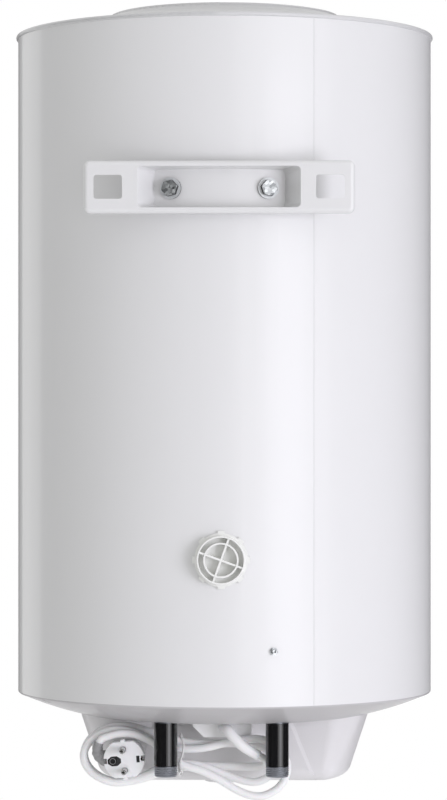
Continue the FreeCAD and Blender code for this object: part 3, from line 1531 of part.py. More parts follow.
def bracket_mount_posts():
    """The threaded posts welded to the tank that carry the bracket."""
    tip = BRACKET_T + WASHER_T - BOLT_LENGTH
    posts = [post(angle, 0.0).cut(bolt_rod(angle, BOLT_R, tip, 1.0)) for angle in bolt_angles()]
    return Part.makeCompound(posts)


def port_stub(clearance):
    """The foaming plug's stub through casing and foam."""
    front = AXIS_Y + SHELL_R
    start = (PLUG_PORT_X, front - PORT_STUB, PLUG_PORT_Z)
    return rod(PORT_STUB_R + clearance, start, (PLUG_PORT_X, front, PLUG_PORT_Z))


def foam_plug():
    """The plug of the foaming port: lugged flange, two rings and a cross of ribs over deep cells."""
    x = PLUG_PORT_X
    z = PLUG_PORT_Z
    base = AXIS_Y + SHELL_R
    inner = base - PORT_SEAT
    top = base + PORT_PROUD
    flange = rod(PORT_FLANGE_R, (x, inner, z), (x, base + PORT_FLANGE_T, z))
    lugs = []
    for i in range(PORT_LUGS):
        reach = PORT_FLANGE_R + PORT_LUG_REACH
        lug = box(0, reach, inner, base + PORT_FLANGE_T, -PORT_LUG_WIDE / 2, PORT_LUG_WIDE / 2)
        lug.rotate(Vector(0, 0, 0), Vector(0, 1, 0), 360.0 * i / PORT_LUGS)
        lug.translate(Vector(x, 0, z))
        lugs.append(lug)
    ring = rod(PORT_RING_R, (x, inner, z), (x, top, z))
    rim = [e for e in ring.Edges if abs(e.CenterOfMass.y - top) < 1e-3]
    ring = ring.makeFillet(PORT_RIM_EDGE, rim)
    head = fused([flange, ring] + lugs).cut(casing_solid(SHELL_R))
    floor = top - PORT_CELL_DEEP
    cell = rod(PORT_INNER_R - PORT_WALL, (x, floor, z), (x, top, z))
    channel_low = top - PORT_CHANNEL_DEEP
    channel = pipe(PORT_RING_R - PORT_WALL, PORT_INNER_R, (x, channel_low, z), (x, top, z))
    ribs = []
    for turn in (PORT_RIB_TURN, PORT_RIB_TURN + 90.0):
        reach = PORT_RING_R
        rib = box(-reach, reach, floor - 1.0, top - PORT_RIB_SUNK, -PORT_RIB / 2, PORT_RIB / 2)
        rib.rotate(Vector(0, 0, 0), Vector(0, 1, 0), turn)
        rib.translate(Vector(x, 0, z))
        ribs.append(rib)
    hollows = Part.makeCompound([cell, channel]).cut(Part.makeCompound(ribs))
    return fused([head, port_stub(0.0)]).cut(hollows)


def shell_screw_shank():
    """The small rear screw's shank."""
    inner_x, inner_y = rear_point(SHELL_SCREW_ANGLE, SHELL_R - SHELL_SCREW_BITE)
    x, y = rear_point(SHELL_SCREW_ANGLE)
    return rod(SHELL_SCREW_R, (inner_x, inner_y, SHELL_SCREW_Z), (x, y, SHELL_SCREW_Z))


def shell_screw():
    """The small screw low on the rear, with its seat disc and hollow head."""
    def on_axis(height):
        x, y = rear_point(SHELL_SCREW_ANGLE, SHELL_R + height)
        return x, y, SHELL_SCREW_Z

    disc = rod(SHELL_SCREW_DISC_R, on_axis(-1.0), on_axis(SHELL_SCREW_DISC_T)).cut(casing_solid(SHELL_R))
    head = rod(SHELL_SCREW_HEAD_R, on_axis(0.0), on_axis(SHELL_SCREW_HEAD))
    socket_floor = on_axis(SHELL_SCREW_HEAD - SHELL_SCREW_SOCKET)
    socket = rod(SHELL_SCREW_SOCKET_R, socket_floor, on_axis(SHELL_SCREW_HEAD))
    return fused([disc, head, shell_screw_shank()]).cut(socket)


PIECES = {
    "outer_shell": outer_shell,
    "top_lid": top_lid,
    "bottom_pan": bottom_pan,
    "inner_tank": inner_tank,
    "foam_insulation": foam_insulation,
    "tank_flange_ring": tank_flange_ring,
    "flange_gasket": flange_gasket,
    "flange_plate": flange_plate,
    "flange_bolts": flange_bolts,
    "heating_element": heating_element,
    "thermowell": thermowell,
    "anode_rod": anode_rod,
    "thermostat_body": thermostat_body,
    "thermostat_spindle": thermostat_spindle,
    "thermostat_knob": thermostat_knob,
    "reset_button": reset_button,
    "indicator_lamp": indicator_lamp,
    "terminal_block": terminal_block,
    "internal_wires": internal_wires,
    "earth_screw": earth_screw,
    "cold_water_nipple": lambda: water_nipple(1),
    "hot_water_nipple": lambda: water_nipple(-1),
    "cold_pipe_sleeve": lambda: pipe_sleeve(1),
    "hot_pipe_sleeve": lambda: pipe_sleeve(-1),
    "cold_inlet_diffuser": cold_inlet_diffuser,
    "hot_riser_tube": hot_riser_tube,
    "bottom_cover": bottom_cover,
    "cover_screws": cover_screws,
    "cable_outlet": cable_outlet,
    "cord_strain_relief": cord_strain_relief,
    "cord_inside": cord_inside,
    "cord_lead": cord_lead,
    "cord_hank": cord_hank,
    "cord_tail": cord_tail,
    "power_plug": power_plug,
    "plug_pins": plug_pins,
    "plug_earth_clips": plug_earth_clips,
    "twist_tie": twist_tie,
    "wall_bracket": wall_bracket,
    "bracket_bolts": bracket_bolts,
    "bracket_washers": bracket_washers,
    "bracket_mount_posts": bracket_mount_posts,
    "foam_plug": foam_plug,
    "shell_screw": shell_screw,
}

os.makedirs("parts", exist_ok=True)
for node, make in PIECES.items():
    shape = make()
    shape.exportStep(f"parts/{node}.step")
    print(f"{node}: solids {len(shape.Solids)}, volume {shape.Volume:.0f}, valid {shape.isValid()}")
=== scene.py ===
# %% [markdown]
# # A storage water heater, dressed from its wall side
# The CAD model brings every rigid piece at its real size. This lesson gives the pieces their finishes,
# lays the mains cord, and models the small forms that the construction leaves plain: the moulded plug,
# the strain relief, the pipe threads and the wire tie. The model is loaded first. Nothing that is
# added may stand out of it.

import math

import bmesh
import bpy
from mathutils import Matrix, Vector


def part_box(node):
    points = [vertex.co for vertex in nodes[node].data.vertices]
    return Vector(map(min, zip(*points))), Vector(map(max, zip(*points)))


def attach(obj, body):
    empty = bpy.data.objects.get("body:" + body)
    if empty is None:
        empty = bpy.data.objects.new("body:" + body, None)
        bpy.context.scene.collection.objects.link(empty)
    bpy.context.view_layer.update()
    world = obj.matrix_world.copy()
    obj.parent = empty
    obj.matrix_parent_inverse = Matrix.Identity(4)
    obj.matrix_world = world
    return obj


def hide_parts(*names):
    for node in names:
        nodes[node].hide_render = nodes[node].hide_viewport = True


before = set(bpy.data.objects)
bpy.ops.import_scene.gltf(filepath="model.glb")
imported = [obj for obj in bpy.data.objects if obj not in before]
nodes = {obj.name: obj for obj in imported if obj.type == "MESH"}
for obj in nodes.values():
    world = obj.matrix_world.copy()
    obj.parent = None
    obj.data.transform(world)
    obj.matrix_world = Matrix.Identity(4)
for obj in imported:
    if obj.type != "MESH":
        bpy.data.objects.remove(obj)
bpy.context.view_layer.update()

# %% [markdown]
# The heater is round, so most places are easiest to give from its axis. The casing's box has the axis
# in its middle. Heights under the heater are given down from the pan, where the bottom cover starts.

# %% Measures of the frame
MM = 0.001
shell_low, shell_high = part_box("outer_shell")
AXIS_Y = (shell_low.y + shell_high.y) / 2
SHELL_R = (shell_high.x - shell_low.x) / 2
PAN_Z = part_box("bottom_cover")[1].z


def under_pan(across, back, down):
    """A place in millimetres across, from the axis towards the wall and down from the pan, in metres."""
    return Vector((across * MM, AXIS_Y + back * MM, PAN_Z - down * MM))


print("axis at y", round(AXIS_Y, 4), "casing radius", round(SHELL_R, 4), "pan at z", round(PAN_Z, 4))

# %% [markdown]
# The photograph is taken level and from far away with a long lens, a little to the right of the
# heater's middle. A long lens keeps the upright sides parallel. The aim stays level, and a small shift
# slides the picture down instead of tilting the camera, so that upright edges stay upright.

# %% Camera
EYE = Vector((-0.0655, 2.6758, -0.2013))
LENS = 138.9
PICTURE_WIDE = 447
PICTURE_TALL = 800
EYE_LEVEL_ROW = 418.7
AXIS_COLUMN = 224.5

camera_data = bpy.data.cameras.new("camera")
camera_data.lens = LENS
camera_data.sensor_width = 36.0
camera_data.shift_x = (PICTURE_WIDE / 2 - AXIS_COLUMN) / PICTURE_TALL
camera_data.shift_y = (EYE_LEVEL_ROW - PICTURE_TALL / 2) / PICTURE_TALL
camera = bpy.data.objects.new("camera", camera_data)
bpy.context.scene.collection.objects.link(camera)
bpy.context.scene.camera = camera
camera.location = EYE
aim = Vector((0.0, AXIS_Y, EYE.z)) - EYE
camera.rotation_mode = "QUATERNION"
camera.rotation_quaternion = aim.to_track_quat("-Z", "Y")
print("camera", round(aim.length, 3), "m from the axis")

# %% [markdown]
# The mains cord is one smooth NURBS line. Its control points are the corners of the route that the CAD
# tube follows: a short lead out of the strain relief, two loops drawn in at the tied waist, and a tail
# that climbs over the hank into the plug's grip. Each end of the hank is half an octagon drawn round its
# turn, and every top run lies one layer nearer to the wall, so that no strand goes through another. The
# second loop's steps make it larger at the end by the pipes. Places are in millimetres, as under_pan
# takes them.

# %% Cord route
CORD_THICK = 7.2
HANK_LOOPS = 2
LAYER_BACK = 84.5
LAYER_STEP = 8.0
WAIST_ACROSS = 37.0
WAIST_DOWN = 32.2
WAIST_HALF = 9.0
WAIST_HALF_STEP = -8.5
LEFT_ACROSS = 87.0
LEFT_DOWN = 33.0
LEFT_HALF_WIDE = 38.5
LEFT_HALF_TALL = 25.0
LEFT_LIFT = 2.5
RIGHT_ACROSS = -23.0
RIGHT_ACROSS_STEP = -4.0
RIGHT_DOWN = 39.5
RIGHT_DOWN_STEP = 2.8
RIGHT_HALF_WIDE = 25.0
RIGHT_HALF_WIDE_STEP = 7.0
RIGHT_HALF_TALL = 17.5
RIGHT_HALF_TALL_STEP = 9.2
LEAD = (
    (-32.0, 109.0, 29.8),
    (-39.7, 106.9, 33.9),
    (-41.5, 96.5, 39.0),
    (-34.5, 87.5, 42.5),
    (-19.0, 84.5, 43.5),
)
TAIL = (
    (14.0, 100.5, 45.5),
    (38.0, 100.5, 40.0),
    (61.0, 100.5, 19.5),
    (78.5, 100.5, 12.0),
    (92.5, 100.5, 11.4),
    (103.5, 100.5, 14.4),
    (110.6, 100.5, 17.2),
    (112.5, 100.5, 25.5),
)


def lobe(across, down, half_wide, half_tall, start, layer):
    """Corners of one end of the hank, half an octagon round its turn."""
    reach = 1.0 / math.cos(math.pi / 8)
    corners = []
    for i in range(5):
        turn = math.radians(start + 45.0 * i)
        x = across + half_wide * reach * math.cos(turn)
        corners.append((x, layer, down - half_tall * reach * math.sin(turn)))
    return corners


def hank_corners():
    """The corners of all loops, each the end at the plug first and then the end by the pipes."""
    corners = []
    for i in range(HANK_LOOPS):
        layer = LAYER_BACK + LAYER_STEP * i
        half = WAIST_HALF + WAIST_HALF_STEP * i
        lift = LEFT_LIFT * (HANK_LOOPS - 1 - i) / 2
        corners.append((WAIST_ACROSS, layer, WAIST_DOWN + half))
        corners += lobe(LEFT_ACROSS, LEFT_DOWN - lift, LEFT_HALF_WIDE, LEFT_HALF_TALL + lift, -90.0, layer)
        corners.append((WAIST_ACROSS, layer, WAIST_DOWN - half))
        corners += lobe(
            RIGHT_ACROSS + RIGHT_ACROSS_STEP * i,
            RIGHT_DOWN + RIGHT_DOWN_STEP * i,
            RIGHT_HALF_WIDE + RIGHT_HALF_WIDE_STEP * i,
            RIGHT_HALF_TALL + RIGHT_HALF_TALL_STEP * i,
            90.0,
            layer + LAYER_STEP,
        )
    return corners


cord_places = list(LEAD) + hank_corners() + list(TAIL)
print("cord route of", len(cord_places), "corners")

# %% [markdown]
# In Blender the cord is a curve object: the spline holds the line, and the bevel gives it its thickness.
# The order is set after the points, because set before it falls back to straight runs. The bevel is one
# metre and each point's radius scales it down to the cord's own, so that the curve's box is right too.
# The line is read back as a mesh without its bevel, to measure the real length of the cord.

# %% Cord
def curve_line(name, points, thick=0.0, cyclic=False):
    """A NURBS curve through the room of its control points, with a round section if thick is given."""
    data = bpy.data.curves.new(name, "CURVE")
    data.dimensions = "3D"
    data.resolution_u = 8
    spline = data.splines.new("NURBS")
    spline.points.add(len(points) - 1)
    for point, place in zip(spline.points, points):
        point.co = (*place, 1.0)
        point.radius = thick / 2
    spline.order_u = 3
    spline.use_endpoint_u = not cyclic
    spline.use_cyclic_u = cyclic
    data.bevel_depth = 1.0 if thick else 0.0
    data.bevel_resolution = 6
    data.use_fill_caps = True
    made = bpy.data.objects.new(name, data)
    bpy.context.scene.collection.objects.link(made)
    return made


def line_points(line):
    """Points along a curve without bevel, in order."""
    bpy.context.view_layer.update()
    mesh = bpy.data.meshes.new_from_object(line)
    points = [v.co.copy() for v in mesh.vertices]
    bpy.data.meshes.remove(mesh)
    return points


def line_length(points):
    """The length of a row of points."""
    return sum((b - a).length for a, b in zip(points, points[1:]))


cord = curve_line("mains_cord", [under_pan(*p) for p in cord_places])
cord_run = line_points(cord)
cord.data.bevel_depth = 1.0
for point in cord.data.splines[0].points:
    point.radius = CORD_THICK / 2 * MM
print("cord length", round(line_length(cord_run), 4), "m")

# %% [markdown]
# The stage is a pale floor under the hanging heater. The key light and a weaker one above it stand at the
# camera's right, faintly cool, and light the casing from a bright band on the right to a grey left side.
# They aren't mirrored: what the gloss mirrors on that side is a narrower streak light, which draws the
# fine bright lines on the dark sleeves. A fill light stands in front of the heater, for its far side.
# The world is plain white to the camera and in reflections, and dimmer as a lamp, so that pale paint
# keeps its tones. Six dark cards stand round the heater, outside the picture: the round casing mirrors
# them along its edges, which draws its outline, and dark plastic and metal mirror the one behind the
# camera. Only the card on the far side takes light away from the object.

# %% Stage and light
FLOOR_Z = -1.0
FLOOR_HALF = 1.5
FLOOR_GREY = 0.9
WORLD_LIGHT = 0.7
LAMP_TINT = (0.93, 0.915, 1.0)
CARD_HALF_TALL = 1.2
CARD_Z = -0.15
CARD_GREY = 0.03
SHADING_CARD = "dark_card_far_side"
CARDS = (
    ("dark_card_left", 0.6, 1.2, -3.2, 0.0),
    ("dark_card_right", 1.4, -2.0, -1.4, 0.0),
    ("dark_card_behind", 0.6, -1.2, -3.2, 0.0),
    ("dark_card_front", 2.0, 1.6, 3.0, 0.0),
    ("dark_card_side", 2.6, 3.6, 0.4, 90.0),
    (SHADING_CARD, 1.7, -3.4, 0.1, 90.0),
)


def world_light():
    """White to the camera and in reflections, and a plain soft light on the object."""
    world = bpy.data.worlds.new("studio")
    bpy.context.scene.world = world
    world.use_nodes = True
    tree = world.node_tree
    tree.nodes.clear()
    path = tree.nodes.new("ShaderNodeLightPath")
    seen = tree.nodes.new("ShaderNodeMath")
    seen.operation = "MAXIMUM"
    seen_too = tree.nodes.new("ShaderNodeMath")
    seen_too.operation = "MAXIMUM"
    tree.links.new(path.outputs["Is Camera Ray"], seen.inputs[0])
    tree.links.new(path.outputs["Is Glossy Ray"], seen.inputs[1])
    tree.links.new(seen.outputs[0], seen_too.inputs[0])
    tree.links.new(path.outputs["Is Transmission Ray"], seen_too.inputs[1])
    lamp = tree.nodes.new("ShaderNodeBackground")
    lamp.inputs["Color"].default_value = (1.0, 1.0, 1.0, 1.0)
    lamp.inputs["Strength"].default_value = WORLD_LIGHT
    white = tree.nodes.new("ShaderNodeBackground")
    white.inputs["Color"].default_value = (1.0, 1.0, 1.0, 1.0)
    white.inputs["Strength"].default_value = 1.0
    mix = tree.nodes.new("ShaderNodeMixShader")
    out = tree.nodes.new("ShaderNodeOutputWorld")
    tree.links.new(seen_too.outputs[0], mix.inputs[0])
    tree.links.new(lamp.outputs[0], mix.inputs[1])
    tree.links.new(white.outputs[0], mix.inputs[2])
    tree.links.new(mix.outputs[0], out.inputs["Surface"])


def soft_box(name, bearing, distance, height, wide, tall, watts, colour=(1.0, 1.0, 1.0)):
    """A soft box at a bearing in degrees from the wall side towards -X, facing the heater's axis."""
    data = bpy.data.lights.new(name, "AREA")
    data.shape = "RECTANGLE"
    data.size = wide
    data.size_y = tall
    data.energy = watts
    data.color = colour
    turn = math.radians(bearing)
    lamp = bpy.data.objects.new(name, data)
    bpy.context.scene.collection.objects.link(lamp)
    lamp.location = (-distance * math.sin(turn), AXIS_Y + distance * math.cos(turn), height)
    way = Vector((0.0, AXIS_Y, height)) - lamp.location
    lamp.rotation_mode = "QUATERNION"
    lamp.rotation_quaternion = way.to_track_quat("-Z", "Y")
    return lamp


def stage_plate(name, half_wide, half_tall, place, grey, turn=0.0, swing=0.0):
    """A flat grey plate of the stage, turned up about X and then swung about Z, in degrees."""
    bm = bmesh.new()
    bmesh.ops.create_grid(bm, x_segments=1, y_segments=1, size=1.0)
    bmesh.ops.scale(bm, vec=(half_wide, half_tall, 1.0), verts=bm.verts)
    for degrees, axis in ((turn, "X"), (swing, "Z")):
        spin = Matrix.Rotation(math.radians(degrees), 3, axis)
        bmesh.ops.rotate(bm, cent=(0, 0, 0), matrix=spin, verts=bm.verts)
    bmesh.ops.translate(bm, vec=place, verts=bm.verts)
    mesh = bpy.data.meshes.new(name)
    bm.to_mesh(mesh)
    bm.free()
    plate = bpy.data.objects.new(name, mesh)
    bpy.context.scene.collection.objects.link(plate)
    material = bpy.data.materials.new(name)
    material.use_nodes = True
    shader = material.node_tree.nodes["Principled BSDF"]
    shader.inputs["Base Color"].default_value = (grey, grey, grey, 1.0)
    shader.inputs["Roughness"].default_value = 0.9
    shader.inputs["Specular IOR Level"].default_value = 0.0
    plate.data.materials.append(material)
    return plate


def see_from_below(plate):
    """Lets the camera look up through the floor: its underside is clear."""
    tree = plate.data.materials[0].node_tree
    back = tree.nodes.new("ShaderNodeNewGeometry")
    clear = tree.nodes.new("ShaderNodeBsdfTransparent")
    mix = tree.nodes.new("ShaderNodeMixShader")
    out = tree.nodes["Material Output"]
    tree.links.new(back.outputs["Backfacing"], mix.inputs[0])
    tree.links.new(tree.nodes["Principled BSDF"].outputs[0], mix.inputs[1])
    tree.links.new(clear.outputs[0], mix.inputs[2])
    tree.links.new(mix.outputs[0], out.inputs["Surface"])


world_light()
tall_box = soft_box("tall_box", 43.0, 2.6, -0.4, 1.15, 1.15, 33.5, LAMP_TINT)
high_box = soft_box("high_box", 43.0, 2.0, 1.0, 0.9, 1.3, 2.0, LAMP_TINT)
streak_box = soft_box("streak_box", 33.0, 2.2, -0.3, 0.8, 1.3, 5.0, LAMP_TINT)
fill_box = soft_box("fill_box", 180.0, 2.4, 0.1, 1.4, 1.4, 16.0)
for unmirrored in (tall_box, high_box, fill_box):
    unmirrored.visible_glossy = False
fill_box.visible_camera = False
streak_box.visible_diffuse = False
floor = stage_plate("floor", FLOOR_HALF, FLOOR_HALF, (0.0, AXIS_Y, FLOOR_Z), FLOOR_GREY)
see_from_below(floor)
for name, half_wide, x, y, swing in CARDS:
    card = stage_plate(name, half_wide, CARD_HALF_TALL, (x, y, CARD_Z), CARD_GREY, 90.0, swing)
    card.visible_camera = False
    card.visible_diffuse = name == SHADING_CARD
    card.visible_shadow = name == SHADING_CARD
bpy.context.scene.view_settings.view_transform = "Standard"
print("four soft boxes, a floor and", len(CARDS), "cards are set")

# %% [markdown]
# Materials start from one helper. It makes a material with a Principled shader and sets the plain
# values on the shader's own sockets. Two more helpers place nodes and link them, and a last one gives
# pieces of the frame their material.

# %% Material helpers
def finish(name, colour, rough, metallic=0.0, coat=0.0, specular=0.5, subsurface=0.0):
    """A material with a Principled shader and its plain values."""
    material = bpy.data.materials.new(name)
    material.use_nodes = True
    shader = material.node_tree.nodes["Principled BSDF"]
    shader.inputs["Base Color"].default_value = (*colour, 1.0)
    shader.inputs["Roughness"].default_value = rough
    shader.inputs["Metallic"].default_value = metallic
    shader.inputs["Coat Weight"].default_value = coat
    shader.inputs["Coat Roughness"].default_value = 0.08
    shader.inputs["Specular IOR Level"].default_value = specular
    shader.inputs["Subsurface Weight"].default_value = subsurface
    shader.inputs["Subsurface Scale"].default_value = 0.002
    material.diffuse_color = (*colour, 1.0)
    return material


def put(tree, kind, **values):
    """A node of a kind, with values set on its inputs by name."""
    node = tree.nodes.new(kind)
    for name, value in values.items():
        node.inputs[name.replace("_", " ")].default_value = value
    return node


def join(tree, *pairs):
    """Links pairs of sockets."""
    for start, end in pairs:
        tree.links.new(start, end)


def dress(material, *names):
    """Gives pieces of the frame a material."""
    for name in names:
        mesh = nodes[name].data
        mesh.materials.clear()
        mesh.materials.append(material)


# %% [markdown]
# Real surfaces are never quite even. Fine grain is a group that every finish shares: two noises, one a
# few millimetres wide and one much finer, give a height for the bump and a value for the roughness.
# It reads Object coordinates, which are metres here, so the scale is the number of waves in a metre.

# %% Grain group
def make_group(name, inputs, outputs):
    """A shader group with named sockets; inputs are name and default, outputs are name and type."""
    group = bpy.data.node_groups.new(name, "ShaderNodeTree")
    for socket, default in inputs:
        made = group.interface.new_socket(socket, in_out="INPUT", socket_type="NodeSocketFloat")
        made.default_value = default
    for socket, kind in outputs:
        group.interface.new_socket(socket, in_out="OUTPUT", socket_type=kind)
    return group, group.nodes.new("NodeGroupInput"), group.nodes.new("NodeGroupOutput")


def grain_group():
    """Height and roughness of a fine grained surface."""
    group, start, end = make_group(
        "fine_grain",
        [("Coarse", 300.0), ("Fine", 2500.0), ("Base", 0.3), ("Spread", 0.1)],
        [("Height", "NodeSocketFloat"), ("Roughness", "NodeSocketFloat")],
    )
    place = group.nodes.new("ShaderNodeTexCoord")
    coarse = put(group, "ShaderNodeTexNoise", Detail=3.0, Roughness=0.55)
    fine = put(group, "ShaderNodeTexNoise", Detail=2.0, Roughness=0.6)
    both = group.nodes.new("ShaderNodeMath")
    both.operation = "MULTIPLY_ADD"
    both.inputs[1].default_value = 0.25
    spread = group.nodes.new("ShaderNodeMath")
    spread.operation = "MULTIPLY_ADD"
    centred = group.nodes.new("ShaderNodeMath")
    centred.operation = "SUBTRACT"
    centred.inputs[1].default_value = 0.5
    join(
        group,
        (place.outputs["Object"], coarse.inputs["Vector"]),
        (place.outputs["Object"], fine.inputs["Vector"]),
        (start.outputs["Coarse"], coarse.inputs["Scale"]),
        (start.outputs["Fine"], fine.inputs["Scale"]),
        (fine.outputs["Fac"], both.inputs[0]),
        (coarse.outputs["Fac"], both.inputs[2]),
        (coarse.outputs["Fac"], centred.inputs[0]),
        (centred.outputs[0], spread.inputs[0]),
        (start.outputs["Spread"], spread.inputs[1]),
        (start.outputs["Base"], spread.inputs[2]),
        (both.outputs[0], end.inputs["Height"]),
        (spread.outputs[0], end.inputs["Roughness"]),
    )
    return group


GRAIN = grain_group()


def grained(material, coarse, fine, rough, spread, strength, depth):
    """Adds fine grain to a material: uneven gloss and a bump of a real depth."""
    tree = material.node_tree
    shader = tree.nodes["Principled BSDF"]
    grain = tree.nodes.new("ShaderNodeGroup")
    grain.node_tree = GRAIN
    for name, value in (("Coarse", coarse), ("Fine", fine), ("Base", rough), ("Spread", spread)):
        grain.inputs[name].default_value = value
    bump = put(tree, "ShaderNodeBump", Strength=strength, Distance=depth)
    join(
        tree,
        (grain.outputs["Roughness"], shader.inputs["Roughness"]),
        (grain.outputs["Height"], bump.inputs["Height"]),
        (bump.outputs["Normal"], shader.inputs["Normal"]),
    )


# %% [markdown]
# Colour is uneven too. A tint group mixes a second, slightly different colour in by a slow noise, and on
# faces that look up, where dust settles. Both are faint on a new heater, but they keep a large white
# surface from looking like flat paper.

# %% Tint group
def tint_group():
    """A mask from a slow noise and from how far the surface faces up."""
    group, start, end = make_group(
        "slow_tint",
        [("Scale", 8.0), ("Patches", 0.5), ("Dust", 0.2)],
        [("Mask", "NodeSocketFloat")],
    )
    place = group.nodes.new("ShaderNodeTexCoord")
    noise = put(group, "ShaderNodeTexNoise", Detail=4.0, Roughness=0.6)
    way = group.nodes.new("ShaderNodeNewGeometry")
    split = group.nodes.new("ShaderNodeSeparateXYZ")
    up = group.nodes.new("ShaderNodeMath")
    up.operation = "MULTIPLY"
    up.use_clamp = True
    total = group.nodes.new("ShaderNodeMath")
    total.operation = "MULTIPLY_ADD"
    total.use_clamp = True
    join(
        group,
        (place.outputs["Object"], noise.inputs["Vector"]),
        (start.outputs["Scale"], noise.inputs["Scale"]),
        (way.outputs["Normal"], split.inputs[0]),
        (split.outputs["Z"], up.inputs[0]),
        (start.outputs["Dust"], up.inputs[1]),
        (noise.outputs["Fac"], total.inputs[0]),
        (start.outputs["Patches"], total.inputs[1]),
        (up.outputs[0], total.inputs[2]),
        (total.outputs[0], end.inputs["Mask"]),
    )
    return group


TINT = tint_group()


def tinted(material, colour, other, scale, patches, dust):
    """Mixes a second colour into a material by the tint mask."""
    tree = material.node_tree
    tint = tree.nodes.new("ShaderNodeGroup")
    tint.node_tree = TINT
    for name, value in (("Scale", scale), ("Patches", patches), ("Dust", dust)):
        tint.inputs[name].default_value = value
    mix = tree.nodes.new("ShaderNodeMix")
    mix.data_type = "RGBA"
    mix.inputs["A"].default_value = (*colour, 1.0)
    mix.inputs["B"].default_value = (*other, 1.0)
    join(
        tree,
        (tint.outputs["Mask"], mix.inputs["Factor"]),
        (mix.outputs["Result"], tree.nodes["Principled BSDF"].inputs["Base Color"]),
    )


print("groups", GRAIN.name, "and", TINT.name)

# %% [markdown]
# Painted sheet comes first. The casing is baked enamel: glossy, with the faint ripple called orange
# peel, a few millimetres wide and only microns deep. Lid and pan are duller, and the pan's dark grey is
# painted shade for its underside, which faces down and away from the lamps. The bracket has the same
# paint as the casing, on thicker sheet.

# %% Painted sheet
def paint(name, colour, other, rough, peel):
    """Baked paint: a coloured coat with orange peel in it."""
    made = finish(name, colour, rough, coat=0.35)
    grained(made, 260.0, 1700.0, rough, 0.06, peel, 0.0004)
    tinted(made, colour, other, 6.0, 0.5, 0.1)
    return made


casing_enamel = paint("casing_enamel", (0.76, 0.76, 0.763), (0.735, 0.735, 0.739), 0.34, 0.06)
lid_finish = paint("lid_plastic", (0.63, 0.63, 0.635), (0.605, 0.605, 0.61), 0.42, 0.05)
# The pan's darker grey is painted shade for the underside of the heater.
pan_enamel = paint("pan_enamel", (0.5, 0.49, 0.5), (0.47, 0.46, 0.47), 0.5, 0.08)
bracket_enamel = paint("bracket_enamel", (0.745, 0.745, 0.747), (0.72, 0.72, 0.722), 0.32, 0.08)
dress(casing_enamel, "outer_shell")
dress(lid_finish, "top_lid")
dress(pan_enamel, "bottom_pan")
dress(bracket_enamel, "wall_bracket")
print("painted sheet on 4 pieces")

# %% [markdown]
# Moulded plastics show a finer grain and a softer gloss, and the lamp's lens lets a little light under
# its skin. The sleeves on the pipes are almost black and glossy, with a grain so faint that a streak of
# light stays sharp in them.

# %% Moulded plastic
def moulded(name, colour, other, rough, grain=0.15, under=0.0, shine=0.5):
    """Moulded plastic with a fine eroded grain."""
    made = finish(name, colour, rough, subsurface=under, specular=shine)
    grained(made, 900.0, 4200.0, rough, 0.12, grain, 0.0003)
    tinted(made, colour, other, 25.0, 0.5, 0.12)
    return made


cover_plastic = moulded("cover_plastic", (0.72, 0.71, 0.72), (0.69, 0.68, 0.685), 0.38)
outlet_plastic = moulded("outlet_plastic", (0.9, 0.9, 0.9), (0.88, 0.88, 0.875), 0.34)
port_plastic = moulded("port_plastic", (0.84, 0.845, 0.825), (0.8, 0.8, 0.775), 0.36)
knob_plastic = moulded("knob_plastic", (0.8, 0.8, 0.81), (0.77, 0.77, 0.78), 0.33)
sleeve_plastic = moulded(
    "sleeve_plastic", (0.006, 0.0058, 0.0068), (0.008, 0.0078, 0.0088), 0.15, grain=0.06, shine=1.0
)
thermostat_plastic = moulded("thermostat_plastic", (0.03, 0.03, 0.033), (0.045, 0.045, 0.05), 0.5, 0.3)
terminal_plastic = moulded("terminal_plastic", (0.66, 0.65, 0.6), (0.6, 0.59, 0.55), 0.5, 0.3)
diffuser_plastic = moulded("diffuser_plastic", (0.78, 0.78, 0.74), (0.72, 0.72, 0.68), 0.45)
button_plastic = moulded("button_plastic", (0.62, 0.03, 0.025), (0.5, 0.025, 0.02), 0.3, 0.1)
lamp_lens = moulded("lamp_lens", (0.66, 0.06, 0.03), (0.52, 0.04, 0.02), 0.12, 0.05, 0.3)
tie_plastic = moulded("tie_plastic", (0.76, 0.76, 0.75), (0.7, 0.7, 0.69), 0.4)
dress(cover_plastic, "bottom_cover")
dress(outlet_plastic, "cable_outlet")
dress(knob_plastic, "thermostat_knob")
dress(sleeve_plastic, "cold_pipe_sleeve", "hot_pipe_sleeve")
dress(thermostat_plastic, "thermostat_body", "thermostat_spindle")
dress(terminal_plastic, "terminal_block")
dress(diffuser_plastic, "cold_inlet_diffuser")
dress(button_plastic, "reset_button")
dress(lamp_lens, "indicator_lamp")
print("moulded plastic on 11 pieces")

# %% [markdown]
# Cord and plug are soft PVC, the seal is rubber. They are duller than hard plastic, and dust clings to
# them. The wires inside the cover wear the colours that electricians expect, mixed over their length by
# where they lie.

# %% Soft plastic and rubber
def soft_skin(name, colour, other, rough, under):
    """Flexible PVC or rubber, with a slightly greasy, uneven gloss."""
    made = finish(name, colour, rough, subsurface=under, specular=0.42)
    grained(made, 700.0, 3200.0, rough, 0.16, 0.2, 0.0003)
    tinted(made, colour, other, 40.0, 0.55, 0.12)
    return made


cord_pvc = soft_skin("cord_pvc", (0.88, 0.88, 0.882), (0.84, 0.84, 0.843), 0.36, 0.08)
plug_pvc = soft_skin("plug_pvc", (0.84, 0.842, 0.85), (0.81, 0.812, 0.82), 0.4, 0.05)
seal_rubber = soft_skin("seal_rubber", (0.03, 0.03, 0.03), (0.045, 0.044, 0.042), 0.62, 0.0)
wire_sheath = soft_skin("wire_sheath", (0.04, 0.09, 0.42), (0.32, 0.14, 0.05), 0.4, 0.0)
dress(seal_rubber, "flange_gasket")
dress(wire_sheath, "internal_wires")
dress(cord_pvc, "cord_inside")
print("soft skins", cord_pvc.name, plug_pvc.name, seal_rubber.name, wire_sheath.name)
